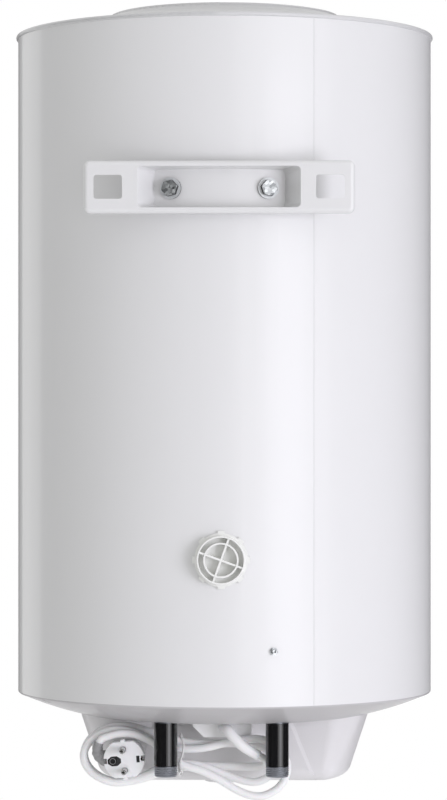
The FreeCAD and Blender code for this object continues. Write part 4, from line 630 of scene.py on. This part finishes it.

# %% [markdown]
# Bolts, washers and screws are zinc plated. Zinc crystals leave patches a millimetre or two across that
# reflect differently, which a Voronoi pattern gives both to the colour and to the gloss. The rims of the
# bracket's bolts and washers get a near-black zinc, which is painted shade for the bottom of the tray that
# they face. The pipe ends are plated steel too, bluer and smoother. The parts in the tank are nickel alloy,
# magnesium and enamel.

# %% Metals
RIM_LEAN = 0.5


def spangle_group():
    """Patches of crystals: a value that jumps from one cell to the next, softened by noise."""
    group, start, end = make_group(
        "zinc_spangle",
        [("Scale", 600.0), ("Blend", 0.5)],
        [("Mask", "NodeSocketFloat")],
    )
    place = group.nodes.new("ShaderNodeTexCoord")
    cells = group.nodes.new("ShaderNodeTexVoronoi")
    cells.feature = "F1"
    noise = put(group, "ShaderNodeTexNoise", Detail=5.0, Roughness=0.65)
    grey = group.nodes.new("ShaderNodeRGBToBW")
    mix = group.nodes.new("ShaderNodeMix")
    mix.data_type = "FLOAT"
    join(
        group,
        (place.outputs["Object"], cells.inputs["Vector"]),
        (place.outputs["Object"], noise.inputs["Vector"]),
        (start.outputs["Scale"], cells.inputs["Scale"]),
        (start.outputs["Scale"], noise.inputs["Scale"]),
        (cells.outputs["Color"], grey.inputs[0]),
        (start.outputs["Blend"], mix.inputs["Factor"]),
        (grey.outputs[0], mix.inputs["A"]),
        (noise.outputs["Fac"], mix.inputs["B"]),
        (mix.outputs["Result"], end.inputs["Mask"]),
    )
    return group


SPANGLE = spangle_group()


def metal(name, colour, other, rough, scale, blend=0.5, spread=0.25, bump_share=0.1, bare=1.0):
    """Metal with crystal patches in its colour, its gloss and very faintly in its height."""
    made = finish(name, colour, rough, metallic=bare)
    tree = made.node_tree
    shader = tree.nodes["Principled BSDF"]
    patch = tree.nodes.new("ShaderNodeGroup")
    patch.node_tree = SPANGLE
    patch.inputs["Scale"].default_value = scale
    patch.inputs["Blend"].default_value = blend
    mix = tree.nodes.new("ShaderNodeMix")
    mix.data_type = "RGBA"
    mix.inputs["A"].default_value = (*colour, 1.0)
    mix.inputs["B"].default_value = (*other, 1.0)
    gloss = tree.nodes.new("ShaderNodeMath")
    gloss.operation = "MULTIPLY_ADD"
    gloss.inputs[1].default_value = spread
    gloss.inputs[2].default_value = rough
    bump = put(tree, "ShaderNodeBump", Strength=bump_share, Distance=0.0002)
    join(
        tree,
        (patch.outputs["Mask"], mix.inputs["Factor"]),
        (mix.outputs["Result"], shader.inputs["Base Color"]),
        (patch.outputs["Mask"], gloss.inputs[0]),
        (gloss.outputs[0], shader.inputs["Roughness"]),
        (patch.outputs["Mask"], bump.inputs["Height"]),
        (bump.outputs["Normal"], shader.inputs["Normal"]),
    )
    return made


zinc = metal(
    "zinc",
    (0.02, 0.025, 0.03),
    (0.93, 0.96, 0.965),
    0.24,
    420.0,
    0.1,
    spread=0.15,
    bump_share=0.3,
    bare=0.75,
)
# Near-black zinc for the rims of the bracket's bolts and washers: painted shade.
zinc_rim_painted_shade = metal(
    "zinc_rim_painted_shade", (0.012, 0.013, 0.015), (0.05, 0.052, 0.055), 0.35, 420.0, spread=0.15, bump_share=0.2
)
washer_zinc = metal(
    "washer_zinc",
    (0.66, 0.68, 0.69),
    (0.86, 0.88, 0.89),
    0.34,
    420.0,
    spread=0.15,
    bump_share=0.2,
    bare=0.3,
)
pipe_steel = metal("pipe_steel", (0.24, 0.25, 0.28), (0.36, 0.375, 0.41), 0.3, 260.0, 0.75)
plate_steel = metal("plate_steel", (0.42, 0.42, 0.43), (0.6, 0.6, 0.6), 0.3, 300.0)
riser_steel = metal("riser_steel", (0.5, 0.5, 0.51), (0.62, 0.62, 0.63), 0.24, 220.0, 0.9)
element_sheath = metal("element_sheath", (0.42, 0.39, 0.35), (0.56, 0.54, 0.5), 0.34, 160.0, 0.9)
magnesium = metal(
    "magnesium", (0.36, 0.36, 0.38), (0.5, 0.5, 0.52), 0.5, 420.0, 0.8, spread=0.2, bump_share=0.5
)
pin_metal = metal("pin_metal", (0.34, 0.34, 0.33), (0.46, 0.46, 0.45), 0.12, 300.0, 0.9, spread=0.12)
contact_metal = metal(
    "contact_metal", (0.3, 0.3, 0.3), (0.4, 0.4, 0.4), 0.36, 300.0, 0.9, spread=0.1, bare=0.35
)
tank_enamel = paint("tank_enamel", (0.05, 0.1, 0.22), (0.04, 0.075, 0.17), 0.16, 0.15)
dress(washer_zinc, "bracket_washers")
dress(zinc, "bracket_bolts", "shell_screw", "cover_screws", "flange_bolts", "earth_screw")
dress(pin_metal, "plug_pins", "plug_earth_clips")
dress(plate_steel, "flange_plate", "bracket_mount_posts")
dress(riser_steel, "hot_riser_tube")
dress(element_sheath, "heating_element", "thermowell")
dress(magnesium, "anode_rod")
dress(tank_enamel, "inner_tank", "tank_flange_ring")
# Side faces of the bolts and washers take the near-black zinc, as painted shade on their rims.
for name in ("bracket_washers", "bracket_bolts"):
    fastener = nodes[name].data
    fastener.materials.append(zinc_rim_painted_shade)
    for face in fastener.polygons:
        outward = Vector((face.center.x, face.center.y - AXIS_Y, 0.0)).normalized()
        if abs(face.normal.dot(outward)) < RIM_LEAN:
            face.material_index = 1
print("metals and tank enamel are made")

# %% [markdown]
# The insulation is rigid foam. It is matt, yellowish and full of small cells, which a fine Voronoi bump
# stands for: the distance to the nearest cell centre makes round pits.

# %% Foam
foam = finish("foam", (0.83, 0.7, 0.4), 0.9, specular=0.2, subsurface=0.1)
foam_tree = foam.node_tree
foam_place = foam_tree.nodes.new("ShaderNodeTexCoord")
foam_cells = put(foam_tree, "ShaderNodeTexVoronoi", Scale=900.0)
foam_bump = put(foam_tree, "ShaderNodeBump", Strength=0.6, Distance=0.0008)
join(
    foam_tree,
    (foam_place.outputs["Object"], foam_cells.inputs["Vector"]),
    (foam_cells.outputs["Distance"], foam_bump.inputs["Height"]),
    (foam_bump.outputs["Normal"], foam_tree.nodes["Principled BSDF"].inputs["Normal"]),
)
tinted(foam, (0.83, 0.7, 0.4), (0.7, 0.53, 0.26), 18.0, 0.8, 0.0)
dress(foam, "foam_insulation")
print("foam with", foam_cells.inputs["Scale"].default_value, "cells in a metre")

# %% [markdown]
# The strain relief is one moulding with its collar: it leaves the outlet straight, bends down and
# towards the right pipe, and thins a little. Its line is a NURBS curve whose points carry a
# radius each, turned into a mesh. A short spun ring makes the collar at the outlet's face, and another
# the rounded lip at its end.

# %% Strain relief
RELIEF_PLACES = (
    (-1.0, 64.0, 6.5),
    (-1.0, 80.0, 6.5),
    (-1.0, 97.0, 6.5),
    (-4.5, 109.0, 6.5),
    (-10.0, 112.0, 13.0),
    (-21.0, 112.0, 24.0),
    (-32.0, 109.0, 29.8),
)
RELIEF_SIZES = (1.0, 1.0, 1.0, 1.0, 0.98, 0.94, 0.9)
RELIEF_R = 5.0
COLLAR_PLACE = (-1.0, 95.5, 6.5)
COLLAR_SIDE = ((0.0, 0.0), (5.2, 0.0), (5.7, 0.4), (5.7, 2.1), (5.3, 2.5), (0.0, 2.5))
LIP_SIDE = ((0.0, -1.0), (4.3, -1.0), (4.75, -0.4), (4.75, 0.8), (4.4, 1.5), (3.7, 1.8), (0.0, 1.8))


def mesh_piece(name, mesh, material, slot, *replaced):
    """An object from a mesh, that rides on the heater and stands for CAD pieces."""
    made = bpy.data.objects.new(name, mesh)
    bpy.context.scene.collection.objects.link(made)
    if material:
        mesh.materials.clear()
        mesh.materials.append(material)
    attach(made, "heater")
    if replaced:
        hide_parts(*replaced)
    return made


def as_mesh(curve):
    """The mesh of a curve object, which is then removed."""
    bpy.context.view_layer.update()
    mesh = bpy.data.meshes.new_from_object(curve)
    bpy.data.objects.remove(curve)
    return mesh


def shade(mesh, angle=35.0):
    """Smooth faces, with edges sharper than an angle kept."""
    mesh.shade_smooth()
    mesh.set_sharp_from_angle(angle=math.radians(angle))


def done(name, bm, material=None, angle=35.0):
    """A shaded mesh from a finished bmesh."""
    mesh = bpy.data.meshes.new(name)
    bm.to_mesh(mesh)
    bm.free()
    if material:
        mesh.materials.append(material)
    shade(mesh, angle)
    return mesh


def turned_bm(profile, steps=96):
    """A turned bmesh about +Z from radius and height pairs in millimetres."""
    bm = bmesh.new()
    verts = [bm.verts.new((r * MM, 0.0, h * MM)) for r, h in profile]
    edges = [bm.edges.new(pair) for pair in zip(verts, verts[1:])]
    bmesh.ops.spin(
        bm, geom=verts + edges, cent=(0, 0, 0), axis=(0, 0, 1), angle=math.tau, steps=steps, use_merge=True
    )
    bmesh.ops.remove_doubles(bm, verts=bm.verts, dist=1e-7)
    bmesh.ops.recalc_face_normals(bm, faces=bm.faces)
    return bm


def spun(name, profile, place, way):
    """A turned mesh that runs along a direction from its place."""
    bm = turned_bm(profile, 48)
    spin = way.to_track_quat("Z", "Y").to_matrix()
    bmesh.ops.rotate(bm, cent=(0, 0, 0), matrix=spin, verts=bm.verts)
    bmesh.ops.translate(bm, vec=place, verts=bm.verts)
    return done(name, bm)


def merged(name, *meshes):
    """One mesh from several, each keeping its own material slot."""
    bm = bmesh.new()
    materials = []
    for mesh in meshes:
        start = len(bm.faces)
        bm.from_mesh(mesh)
        bm.faces.ensure_lookup_table()
        own = mesh.materials[0] if mesh.materials else None
        if own not in materials:
            materials.append(own)
        for face in bm.faces[start:]:
            face.material_index = materials.index(own)
    made = bpy.data.meshes.new(name)
    bm.to_mesh(made)
    bm.free()
    for material in materials:
        made.materials.append(material)
    return made


relief_line = curve_line("relief_line", [under_pan(*p) for p in RELIEF_PLACES], 2 * RELIEF_R * MM)
for point, size in zip(relief_line.data.splines[0].points, RELIEF_SIZES):
    point.radius *= size
relief_line.data.bevel_resolution = 8
relief_mesh = as_mesh(relief_line)
shade(relief_mesh)
collar = spun("collar", COLLAR_SIDE, under_pan(*COLLAR_PLACE), Vector((0, 1, 0)))
relief_end = under_pan(*RELIEF_PLACES[-1])
lip = spun("lip", LIP_SIDE, relief_end, relief_end - under_pan(*RELIEF_PLACES[-2]))
relief_mesh = merged("strain_relief", relief_mesh, collar, lip)
relief = mesh_piece("strain_relief", relief_mesh, cord_pvc, "cord_pvc", "cord_strain_relief")
print("strain relief", len(relief.data.polygons), "faces")

# %% [markdown]
# The foaming plug is the same from its left and its right, apart from the cross of ribs. The cross leans
# to the right at its top, so the piece is the plug of the frame, mirrored about its own upright middle.

# %% Foaming plug
port_low, port_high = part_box("foam_plug")
port_bm = bmesh.new()
port_bm.from_mesh(nodes["foam_plug"].data)
for vert in port_bm.verts:
    vert.co.x = port_low.x + port_high.x - vert.co.x
bmesh.ops.reverse_faces(port_bm, faces=port_bm.faces)
port = mesh_piece("foaming_plug", done("foaming_plug", port_bm), port_plastic, "port_plastic", "foam_plug")
print("foaming plug", len(port.data.polygons), "faces")

# %% [markdown]
# The plug is a round moulding with a flat above and one below. It is turned like a disc from its side
# view, with a soft front rim, a parting groove and a rounded rear, and two planes slice the flats off.
# The plug's own directions are: u to the picture's right, v up along its pins, w out of its face.

# %% Plug body
PLUG_R = 18.5
PLUG_FLAT = 16.2
PLUG_DEEP = 28.5
PLUG_SIDE = (
    (0.0, 0.0),
    (17.5, 0.0),
    (18.15, -0.2),
    (PLUG_R, -0.8),
    (PLUG_R, -12.2),
    (18.1, -12.5),
    (18.1, -13.1),
    (PLUG_R, -13.4),
    (PLUG_R, -25.6),
    (17.6, -27.7),
    (15.6, -PLUG_DEEP),
    (0.0, -PLUG_DEEP),
)
FLAT_EDGE = 0.5
PLUG_TILT = math.radians(5.0)
PLUG_PLACE = under_pan(88.0, 111.0, 34.4)
PLUG_TURN = Matrix(
    (
        (-math.cos(PLUG_TILT), math.sin(PLUG_TILT), 0.0),
        (0.0, 0.0, 1.0),
        (math.sin(PLUG_TILT), math.cos(PLUG_TILT), 0.0),
    )
)


def to_plug(bm):
    """Moves a mesh from the plug's own directions to its place."""
    bmesh.ops.rotate(bm, cent=(0, 0, 0), matrix=PLUG_TURN, verts=bm.verts)
    bmesh.ops.translate(bm, vec=PLUG_PLACE, verts=bm.verts)


def wear(mesh, material):
    """Gives a mesh one material in place of those it has."""
    mesh.materials.clear()
    mesh.materials.append(material)
    return mesh


def cut_away(mesh, cutters):
    """A mesh with the shapes of other meshes taken out of it."""
    holder = bpy.data.objects.new("holder", mesh)
    bpy.context.scene.collection.objects.link(holder)
    for cutter in cutters:
        tool = bpy.data.objects.new("cutter", cutter)
        bpy.context.scene.collection.objects.link(tool)
        cut = holder.modifiers.new("cut", "BOOLEAN")
        cut.operation = "DIFFERENCE"
        cut.solver = "EXACT"
        cut.object = tool
    bpy.context.view_layer.update()
    result = bpy.data.meshes.new_from_object(holder.evaluated_get(bpy.context.evaluated_depsgraph_get()))
    for cut in holder.modifiers:
        bpy.data.objects.remove(cut.object)
    bpy.data.objects.remove(holder)
    return result


def soften(bm, edges, size):
    """Rounds edges by a size in millimetres."""
    bmesh.ops.bevel(bm, geom=edges, offset=size * MM, affect="EDGES", segments=2, profile=0.5, material=-1)


def block(half, low, high, place, soft=0.0, sides=4):
    """A block or, with eight sides, a chamfered one, in the plug's own directions and millimetres."""
    bm = bmesh.new()
    bmesh.ops.create_circle(bm, cap_ends=True, segments=sides, radius=1.0)
    spin = Matrix.Rotation(math.pi / sides, 3, "Z")
    bmesh.ops.rotate(bm, cent=(0, 0, 0), matrix=spin, verts=bm.verts)
    reach = math.cos(math.pi / sides)
    bmesh.ops.scale(bm, vec=(half[0] * MM / reach, half[1] * MM / reach, 1.0), verts=bm.verts)
    bmesh.ops.translate(bm, vec=(place[0] * MM, place[1] * MM, low * MM), verts=bm.verts)
    grown = bmesh.ops.extrude_face_region(bm, geom=bm.faces[:], use_keep_orig=True)
    top = [v for v in grown["geom"] if isinstance(v, bmesh.types.BMVert)]
    bmesh.ops.translate(bm, vec=(0.0, 0.0, (high - low) * MM), verts=top)
    bmesh.ops.recalc_face_normals(bm, faces=bm.faces)
    if soft:
        soften(bm, bm.edges[:], soft)
    to_plug(bm)
    return bm


disc_bm = turned_bm(PLUG_SIDE)
for side in (1, -1):
    bmesh.ops.bisect_plane(
        disc_bm,
        geom=disc_bm.verts[:] + disc_bm.edges[:] + disc_bm.faces[:],
        plane_co=(0, side * PLUG_FLAT * MM, 0),
        plane_no=(0, side, 0),
        clear_outer=True,
    )
    rim = [e for e in disc_bm.edges if e.is_boundary]
    bmesh.ops.contextual_create(disc_bm, geom=rim)
flat_rims = [
    e for e in disc_bm.edges if all(abs(abs(v.co.y) - PLUG_FLAT * MM) < 1e-6 for v in e.verts)
]
soften(disc_bm, flat_rims, FLAT_EDGE)
bmesh.ops.recalc_face_normals(disc_bm, faces=disc_bm.faces)
to_plug(disc_bm)
disc_mesh = done("plug_disc", disc_bm)
print("plug disc", len(disc_mesh.polygons), "faces")

# %% [markdown]
# The face is opened with boolean modifiers that are applied at once: a chamfered pocket for the black
# earth socket, a slot and a small dot beside the right clip, and a notch in the rim for each clip.
# Shallow rings are sunk round the roots of the pins.

# %% Openings in the face
SOCKET_U = -8.8
SOCKET_V = -0.6
SOCKET_DEEP = 3.0
POCKET_HALF = (6.1, 4.45)
SLOT_PLACE = (12.6, -0.3)
SLOT_HALF = (1.45, 3.0)
SLOT_DEEP = 5.0
DOT_PLACE = (15.7, -0.4)
DOT_HALF = (0.8, 1.2)
DOT_DEEP = 3.0
CLIP_ACROSS = 17.0
CLIP_HALF = (1.5, 2.5)
CLIP_DEEP = 12.0
PIN_ASIDE = 9.5
PIN_SEAT_R = 2.95
PIN_SEAT_DEEP = 0.9
OVER = 1.0


def turned_piece(name, profile, steps, place, material=None):
    """A turned mesh on the plug's face, from its side view and its place there."""
    bm = turned_bm(profile, steps)
    bmesh.ops.translate(bm, vec=(place[0] * MM, place[1] * MM, 0.0), verts=bm.verts)
    to_plug(bm)
    return done(name, bm, material)


def drill(name, radius, deep, place):
    """A round cutter into the plug's face."""
    return turned_piece(name, ((0.0, OVER), (radius, OVER), (radius, -deep), (0.0, -deep)), 32, place)


pocket = done("pocket", block(POCKET_HALF, -SOCKET_DEEP, OVER, (SOCKET_U, SOCKET_V), sides=8))
slot = done("slot", block(SLOT_HALF, -SLOT_DEEP, OVER, SLOT_PLACE))
dot = done("dot", block(DOT_HALF, -DOT_DEEP, OVER, DOT_PLACE, sides=8))
notches = [
    done("notch", block(CLIP_HALF, -CLIP_DEEP, OVER, (side * CLIP_ACROSS, 0.0))) for side in (1, -1)
]
pin_seats = [
    drill("pin_seat", PIN_SEAT_R, PIN_SEAT_DEEP, (0.0, side * PIN_ASIDE)) for side in (1, -1)
]
disc_mesh = wear(cut_away(disc_mesh, [pocket, slot, dot] + notches + pin_seats), plug_pvc)
shade(disc_mesh)
print("plug disc with openings", len(disc_mesh.polygons), "faces")

# %% [markdown]
# Two narrow guides stand on the flats, and the cord enters through a grip that bends away from the
# plug's side. The grip is a NURBS line with a radius at each point. Beyond its first part, every second
# point is thinner, which gives the grooves of a bend relief. Its plastic is a darker grey, which is
# painted shade for the plug's shadow that the grip lies in.

# %% Guides and grip
GUIDE_ASIDE = 16.9
GUIDE_HALF = (1.9, 1.1)
GUIDE_LOW = -11.0
GUIDE_HIGH = -0.1
GUIDE_EDGE = 0.35
GRIP_START = (96.5, 96.5, 34.4)
GRIP_CORNER = (117.0, 100.0, 36.0)
GRIP_END = (111.2, 100.5, 20.0)
GRIP_POINTS = 13
GRIP_R = 8.8
GRIP_THINNING = 4.4
GROOVES_FROM = 0.3
GROOVE_SIZE = 0.84


def bent(share, start, corner, end):
    """A place on the curve from start to end that a corner pulls out."""
    first = (1 - share) ** 2
    second = 2 * share * (1 - share)
    third = share**2
    return tuple(a * first + b * second + c * third for a, b, c in zip(start, corner, end))


guides = [
    done("guide", block(GUIDE_HALF, GUIDE_LOW, GUIDE_HIGH, (0.0, side * GUIDE_ASIDE), GUIDE_EDGE), plug_pvc)
    for side in (1, -1)
]
grip_shares = [i / (GRIP_POINTS - 1) for i in range(GRIP_POINTS)]
grip_places = [bent(share, GRIP_START, GRIP_CORNER, GRIP_END) for share in grip_shares]
grip_line = curve_line("grip_line", [under_pan(*p) for p in grip_places], 2 * MM)
for i, share in enumerate(grip_shares):
    groove = GROOVE_SIZE if i % 2 and share > GROOVES_FROM else 1.0
    grip_line.data.splines[0].points[i].radius = (GRIP_R - GRIP_THINNING * share) * groove * MM
grip_line.data.bevel_resolution = 5
grip_line.data.resolution_u = 5
# The grip's darker grey is painted shade: the grip lies in the shadow of the plug.
grip_pvc_painted_shade = soft_skin("grip_pvc_painted_shade", (0.34, 0.34, 0.345), (0.29, 0.29, 0.295), 0.42, 0.0)
grip_mesh = wear(as_mesh(grip_line), grip_pvc_painted_shade)
shade(grip_mesh, 50.0)
plug_mesh = merged("plug_body", disc_mesh, grip_mesh, *guides)
plug = mesh_piece("plug_body", plug_mesh, None, "plug_pvc", "power_plug")
print("plug", len(plug.data.polygons), "faces")

# %% [markdown]
# The socket for the earth pin is a black insert with a metal ring in it. A thin rib stands beside the
# ring. The insert is cut like the face: one octagon, with the hole taken out. The slot and the dot get
# black floors a little under the face, as painted shade for the depth of these openings.

# %% Earth socket
INSERT_HALF = (6.05, 4.4)
INSERT_SUNK = 0.9
INSERT_EDGE = 0.25
HOLE_PLACE = (SOCKET_U - 1.5, SOCKET_V)
HOLE_R = 2.4
HOLE_DEEP = 2.8
RING_SIDE = ((2.35, -1.6), (2.35, -0.75), (2.45, -0.65), (2.7, -0.65), (2.8, -0.75), (2.8, -1.1))
RIB_PLACE = (SOCKET_U + 2.6, SOCKET_V)
RIB_HALF = (0.35, 3.6)
RIB_LOW = -1.2
RIB_HIGH = -0.3
RIB_EDGE = 0.12
SHADE_FLOOR_SUNK = 0.5
SLOT_SHADE_HALF = (1.44, 2.99)
DOT_SHADE_HALF = (0.79, 1.19)

# Black plastic for the insert and the rib, and for the floors that are painted shade.
socket_black_and_shade = moulded("socket_black_and_shade", (0.012, 0.012, 0.013), (0.02, 0.02, 0.022), 0.42, 0.2)
insert = done(
    "insert", block(INSERT_HALF, -SOCKET_DEEP, -INSERT_SUNK, (SOCKET_U, SOCKET_V), INSERT_EDGE, sides=8)
)
insert = wear(cut_away(insert, [drill("hole", HOLE_R, HOLE_DEEP, HOLE_PLACE)]), socket_black_and_shade)
shade(insert)
ring = turned_piece("ring", RING_SIDE, 40, HOLE_PLACE, contact_metal)
rib = done("rib", block(RIB_HALF, RIB_LOW, RIB_HIGH, RIB_PLACE, RIB_EDGE), socket_black_and_shade)
# Black floors in the slot and the dot: painted shade for the depth of these openings.
slot_shade_floor = done(
    "slot_shade_floor", block(SLOT_SHADE_HALF, -SLOT_DEEP, -SHADE_FLOOR_SUNK, SLOT_PLACE), socket_black_and_shade
)
dot_shade_floor = done(
    "dot_shade_floor", block(DOT_SHADE_HALF, -DOT_DEEP, -SHADE_FLOOR_SUNK, DOT_PLACE, sides=8), socket_black_and_shade
)
socket_mesh = merged("earth_socket", insert, ring, rib, slot_shade_floor, dot_shade_floor)
socket = mesh_piece("earth_socket", socket_mesh, None, "plug_pvc")
print("earth socket", len(socket.data.polygons), "faces")

# %% [markdown]
# The water pipes end in a G 1/2 thread, whose pitch is 1.814 mm. A turned pipe with many fine rows at its
# end is made first. Then the rows move in and out with their height and their turn round the pipe
# together, so that the ridge climbs by one pitch in one turn. It rises from a smaller start at the open
# end, and runs out at the shank.

# %% Pipe threads
PIPE_ACROSS = 50.0
PIPE_BACK = 118.0
PIPE_DROP = 48.3
THREAD_R = 10.48
SHANK_R = 9.6
THREAD_PITCH = 1.814
THREAD_DEEP = 0.5
THREAD_ROWS = 44
THREAD_TALL = 9.0
THREAD_STEEP = 1.35
THREAD_START = 0.3
LEAD_IN = 1.6
LEAD_IN_DEEP = 0.7
RUN_OUT = 1.2
BORE_R = 8.0
MOUTH_EDGE = 0.5
MOUTH_SIDE = [(BORE_R, MOUTH_EDGE), (8.4, 0.0), (9.3, 0.0)]


def threaded_pipe(name, node, across):
    """A water pipe with its thread, from its open end up to the tank."""
    low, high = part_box(node)
    tall = (high.z - low.z) / MM
    step = (THREAD_TALL - THREAD_START) / THREAD_ROWS
    rows = [(THREAD_R, THREAD_START + step * i) for i in range(THREAD_ROWS + 1)]
    shank = [(SHANK_R, THREAD_TALL), (SHANK_R, tall), (BORE_R, tall), (BORE_R, MOUTH_EDGE)]
    bm = turned_bm(MOUTH_SIDE + rows + shank, 64)
    for vert in bm.verts:
        radius = math.hypot(vert.co.x, vert.co.y)
        height = vert.co.z / MM
        if abs(radius - THREAD_R * MM) < 1e-6:
            phase = height / THREAD_PITCH - math.atan2(vert.co.y, vert.co.x) / math.tau
            wave = abs(2.0 * (phase % 1.0) - 1.0)
            lead_in = min(1.0, height / LEAD_IN)
            run_out = min(1.0, (THREAD_TALL - height) / RUN_OUT)
            ridge = THREAD_DEEP * min(1.0, THREAD_STEEP * wave) * run_out
            size = (THREAD_R - ridge - LEAD_IN_DEEP * (1.0 - lead_in)) * MM / radius
            vert.co.x *= size
            vert.co.y *= size
    bmesh.ops.translate(bm, vec=under_pan(across, PIPE_BACK, PIPE_DROP), verts=bm.verts)
    mesh_piece(name, done(name, bm, None, 60.0), pipe_steel, "pipe_steel", node)


threaded_pipe("cold_water_pipe", "cold_water_nipple", PIPE_ACROSS)
threaded_pipe("hot_water_pipe", "hot_water_nipple", -PIPE_ACROSS)
print("threads of", round(THREAD_TALL / THREAD_PITCH, 1), "turns")

# %% [markdown]
# The tie is a piece of coated wire. It goes once round the strands, leaning a little, and its two ends
# are twisted together below the bundle. The twist is two helices half a turn apart, which spread where
# they end.

# %% Wire tie
TIE_LOOP = (
    (38.0, 94.0, 13.6),
    (37.4, 99.0, 15.0),
    (34.2, 101.2, 20.4),
    (35.2, 103.4, 29.0),
    (37.6, 105.4, 36.5),
    (38.6, 105.8, 43.0),
    (38.8, 103.0, 48.0),
    (38.2, 95.0, 50.4),
    (37.2, 84.0, 50.8),
    (36.2, 79.4, 46.0),
    (35.8, 79.0, 31.0),
    (36.4, 79.6, 17.5),
    (37.4, 84.0, 13.4),
)
TIE_R = 0.85
TWIST_START = Vector((38.2, 106.6, 37.0))
TWIST_END = Vector((36.6, 108.2, 46.0))
TWIST_R = 0.75
TWIST_TURNS = 2.2
TWIST_POINTS = 18
TWIST_HALF = 0.85
SPREAD_FROM = 0.8
SPREADS = (2.7, 4.5)
tie_parts = [as_mesh(curve_line("tie_loop", [under_pan(*p) for p in TIE_LOOP], 2 * TIE_R * MM, True))]
run = TWIST_END - TWIST_START
side_way = run.cross(Vector((0, 1, 0))).normalized()
depth_way = run.cross(side_way).normalized()
for half in (0, 1):
    twist = []
    for i in range(TWIST_POINTS):
        share = i / (TWIST_POINTS - 1)
        turn = math.tau * TWIST_TURNS * share + math.pi * half
        reach = TWIST_HALF + SPREADS[half] * max(0.0, share - SPREAD_FROM)
        offset = (side_way * math.cos(turn) + depth_way * math.sin(turn)) * reach
        twist.append(under_pan(*(TWIST_START + run * share + offset)))
    tie_parts.append(as_mesh(curve_line("tie_end", twist, 2 * TWIST_R * MM)))
tie_mesh = merged("wire_tie", *tie_parts)
shade(tie_mesh)
tie = mesh_piece("wire_tie", tie_mesh, tie_plastic, "tie_plastic", "twist_tie")
print("tie", len(tie.data.polygons), "faces")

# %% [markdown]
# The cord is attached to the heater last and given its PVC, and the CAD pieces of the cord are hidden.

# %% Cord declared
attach(cord, "heater")
cord.data.materials.append(cord_pvc)
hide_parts("cord_lead", "cord_hank", "cord_tail")
bpy.context.view_layer.update()
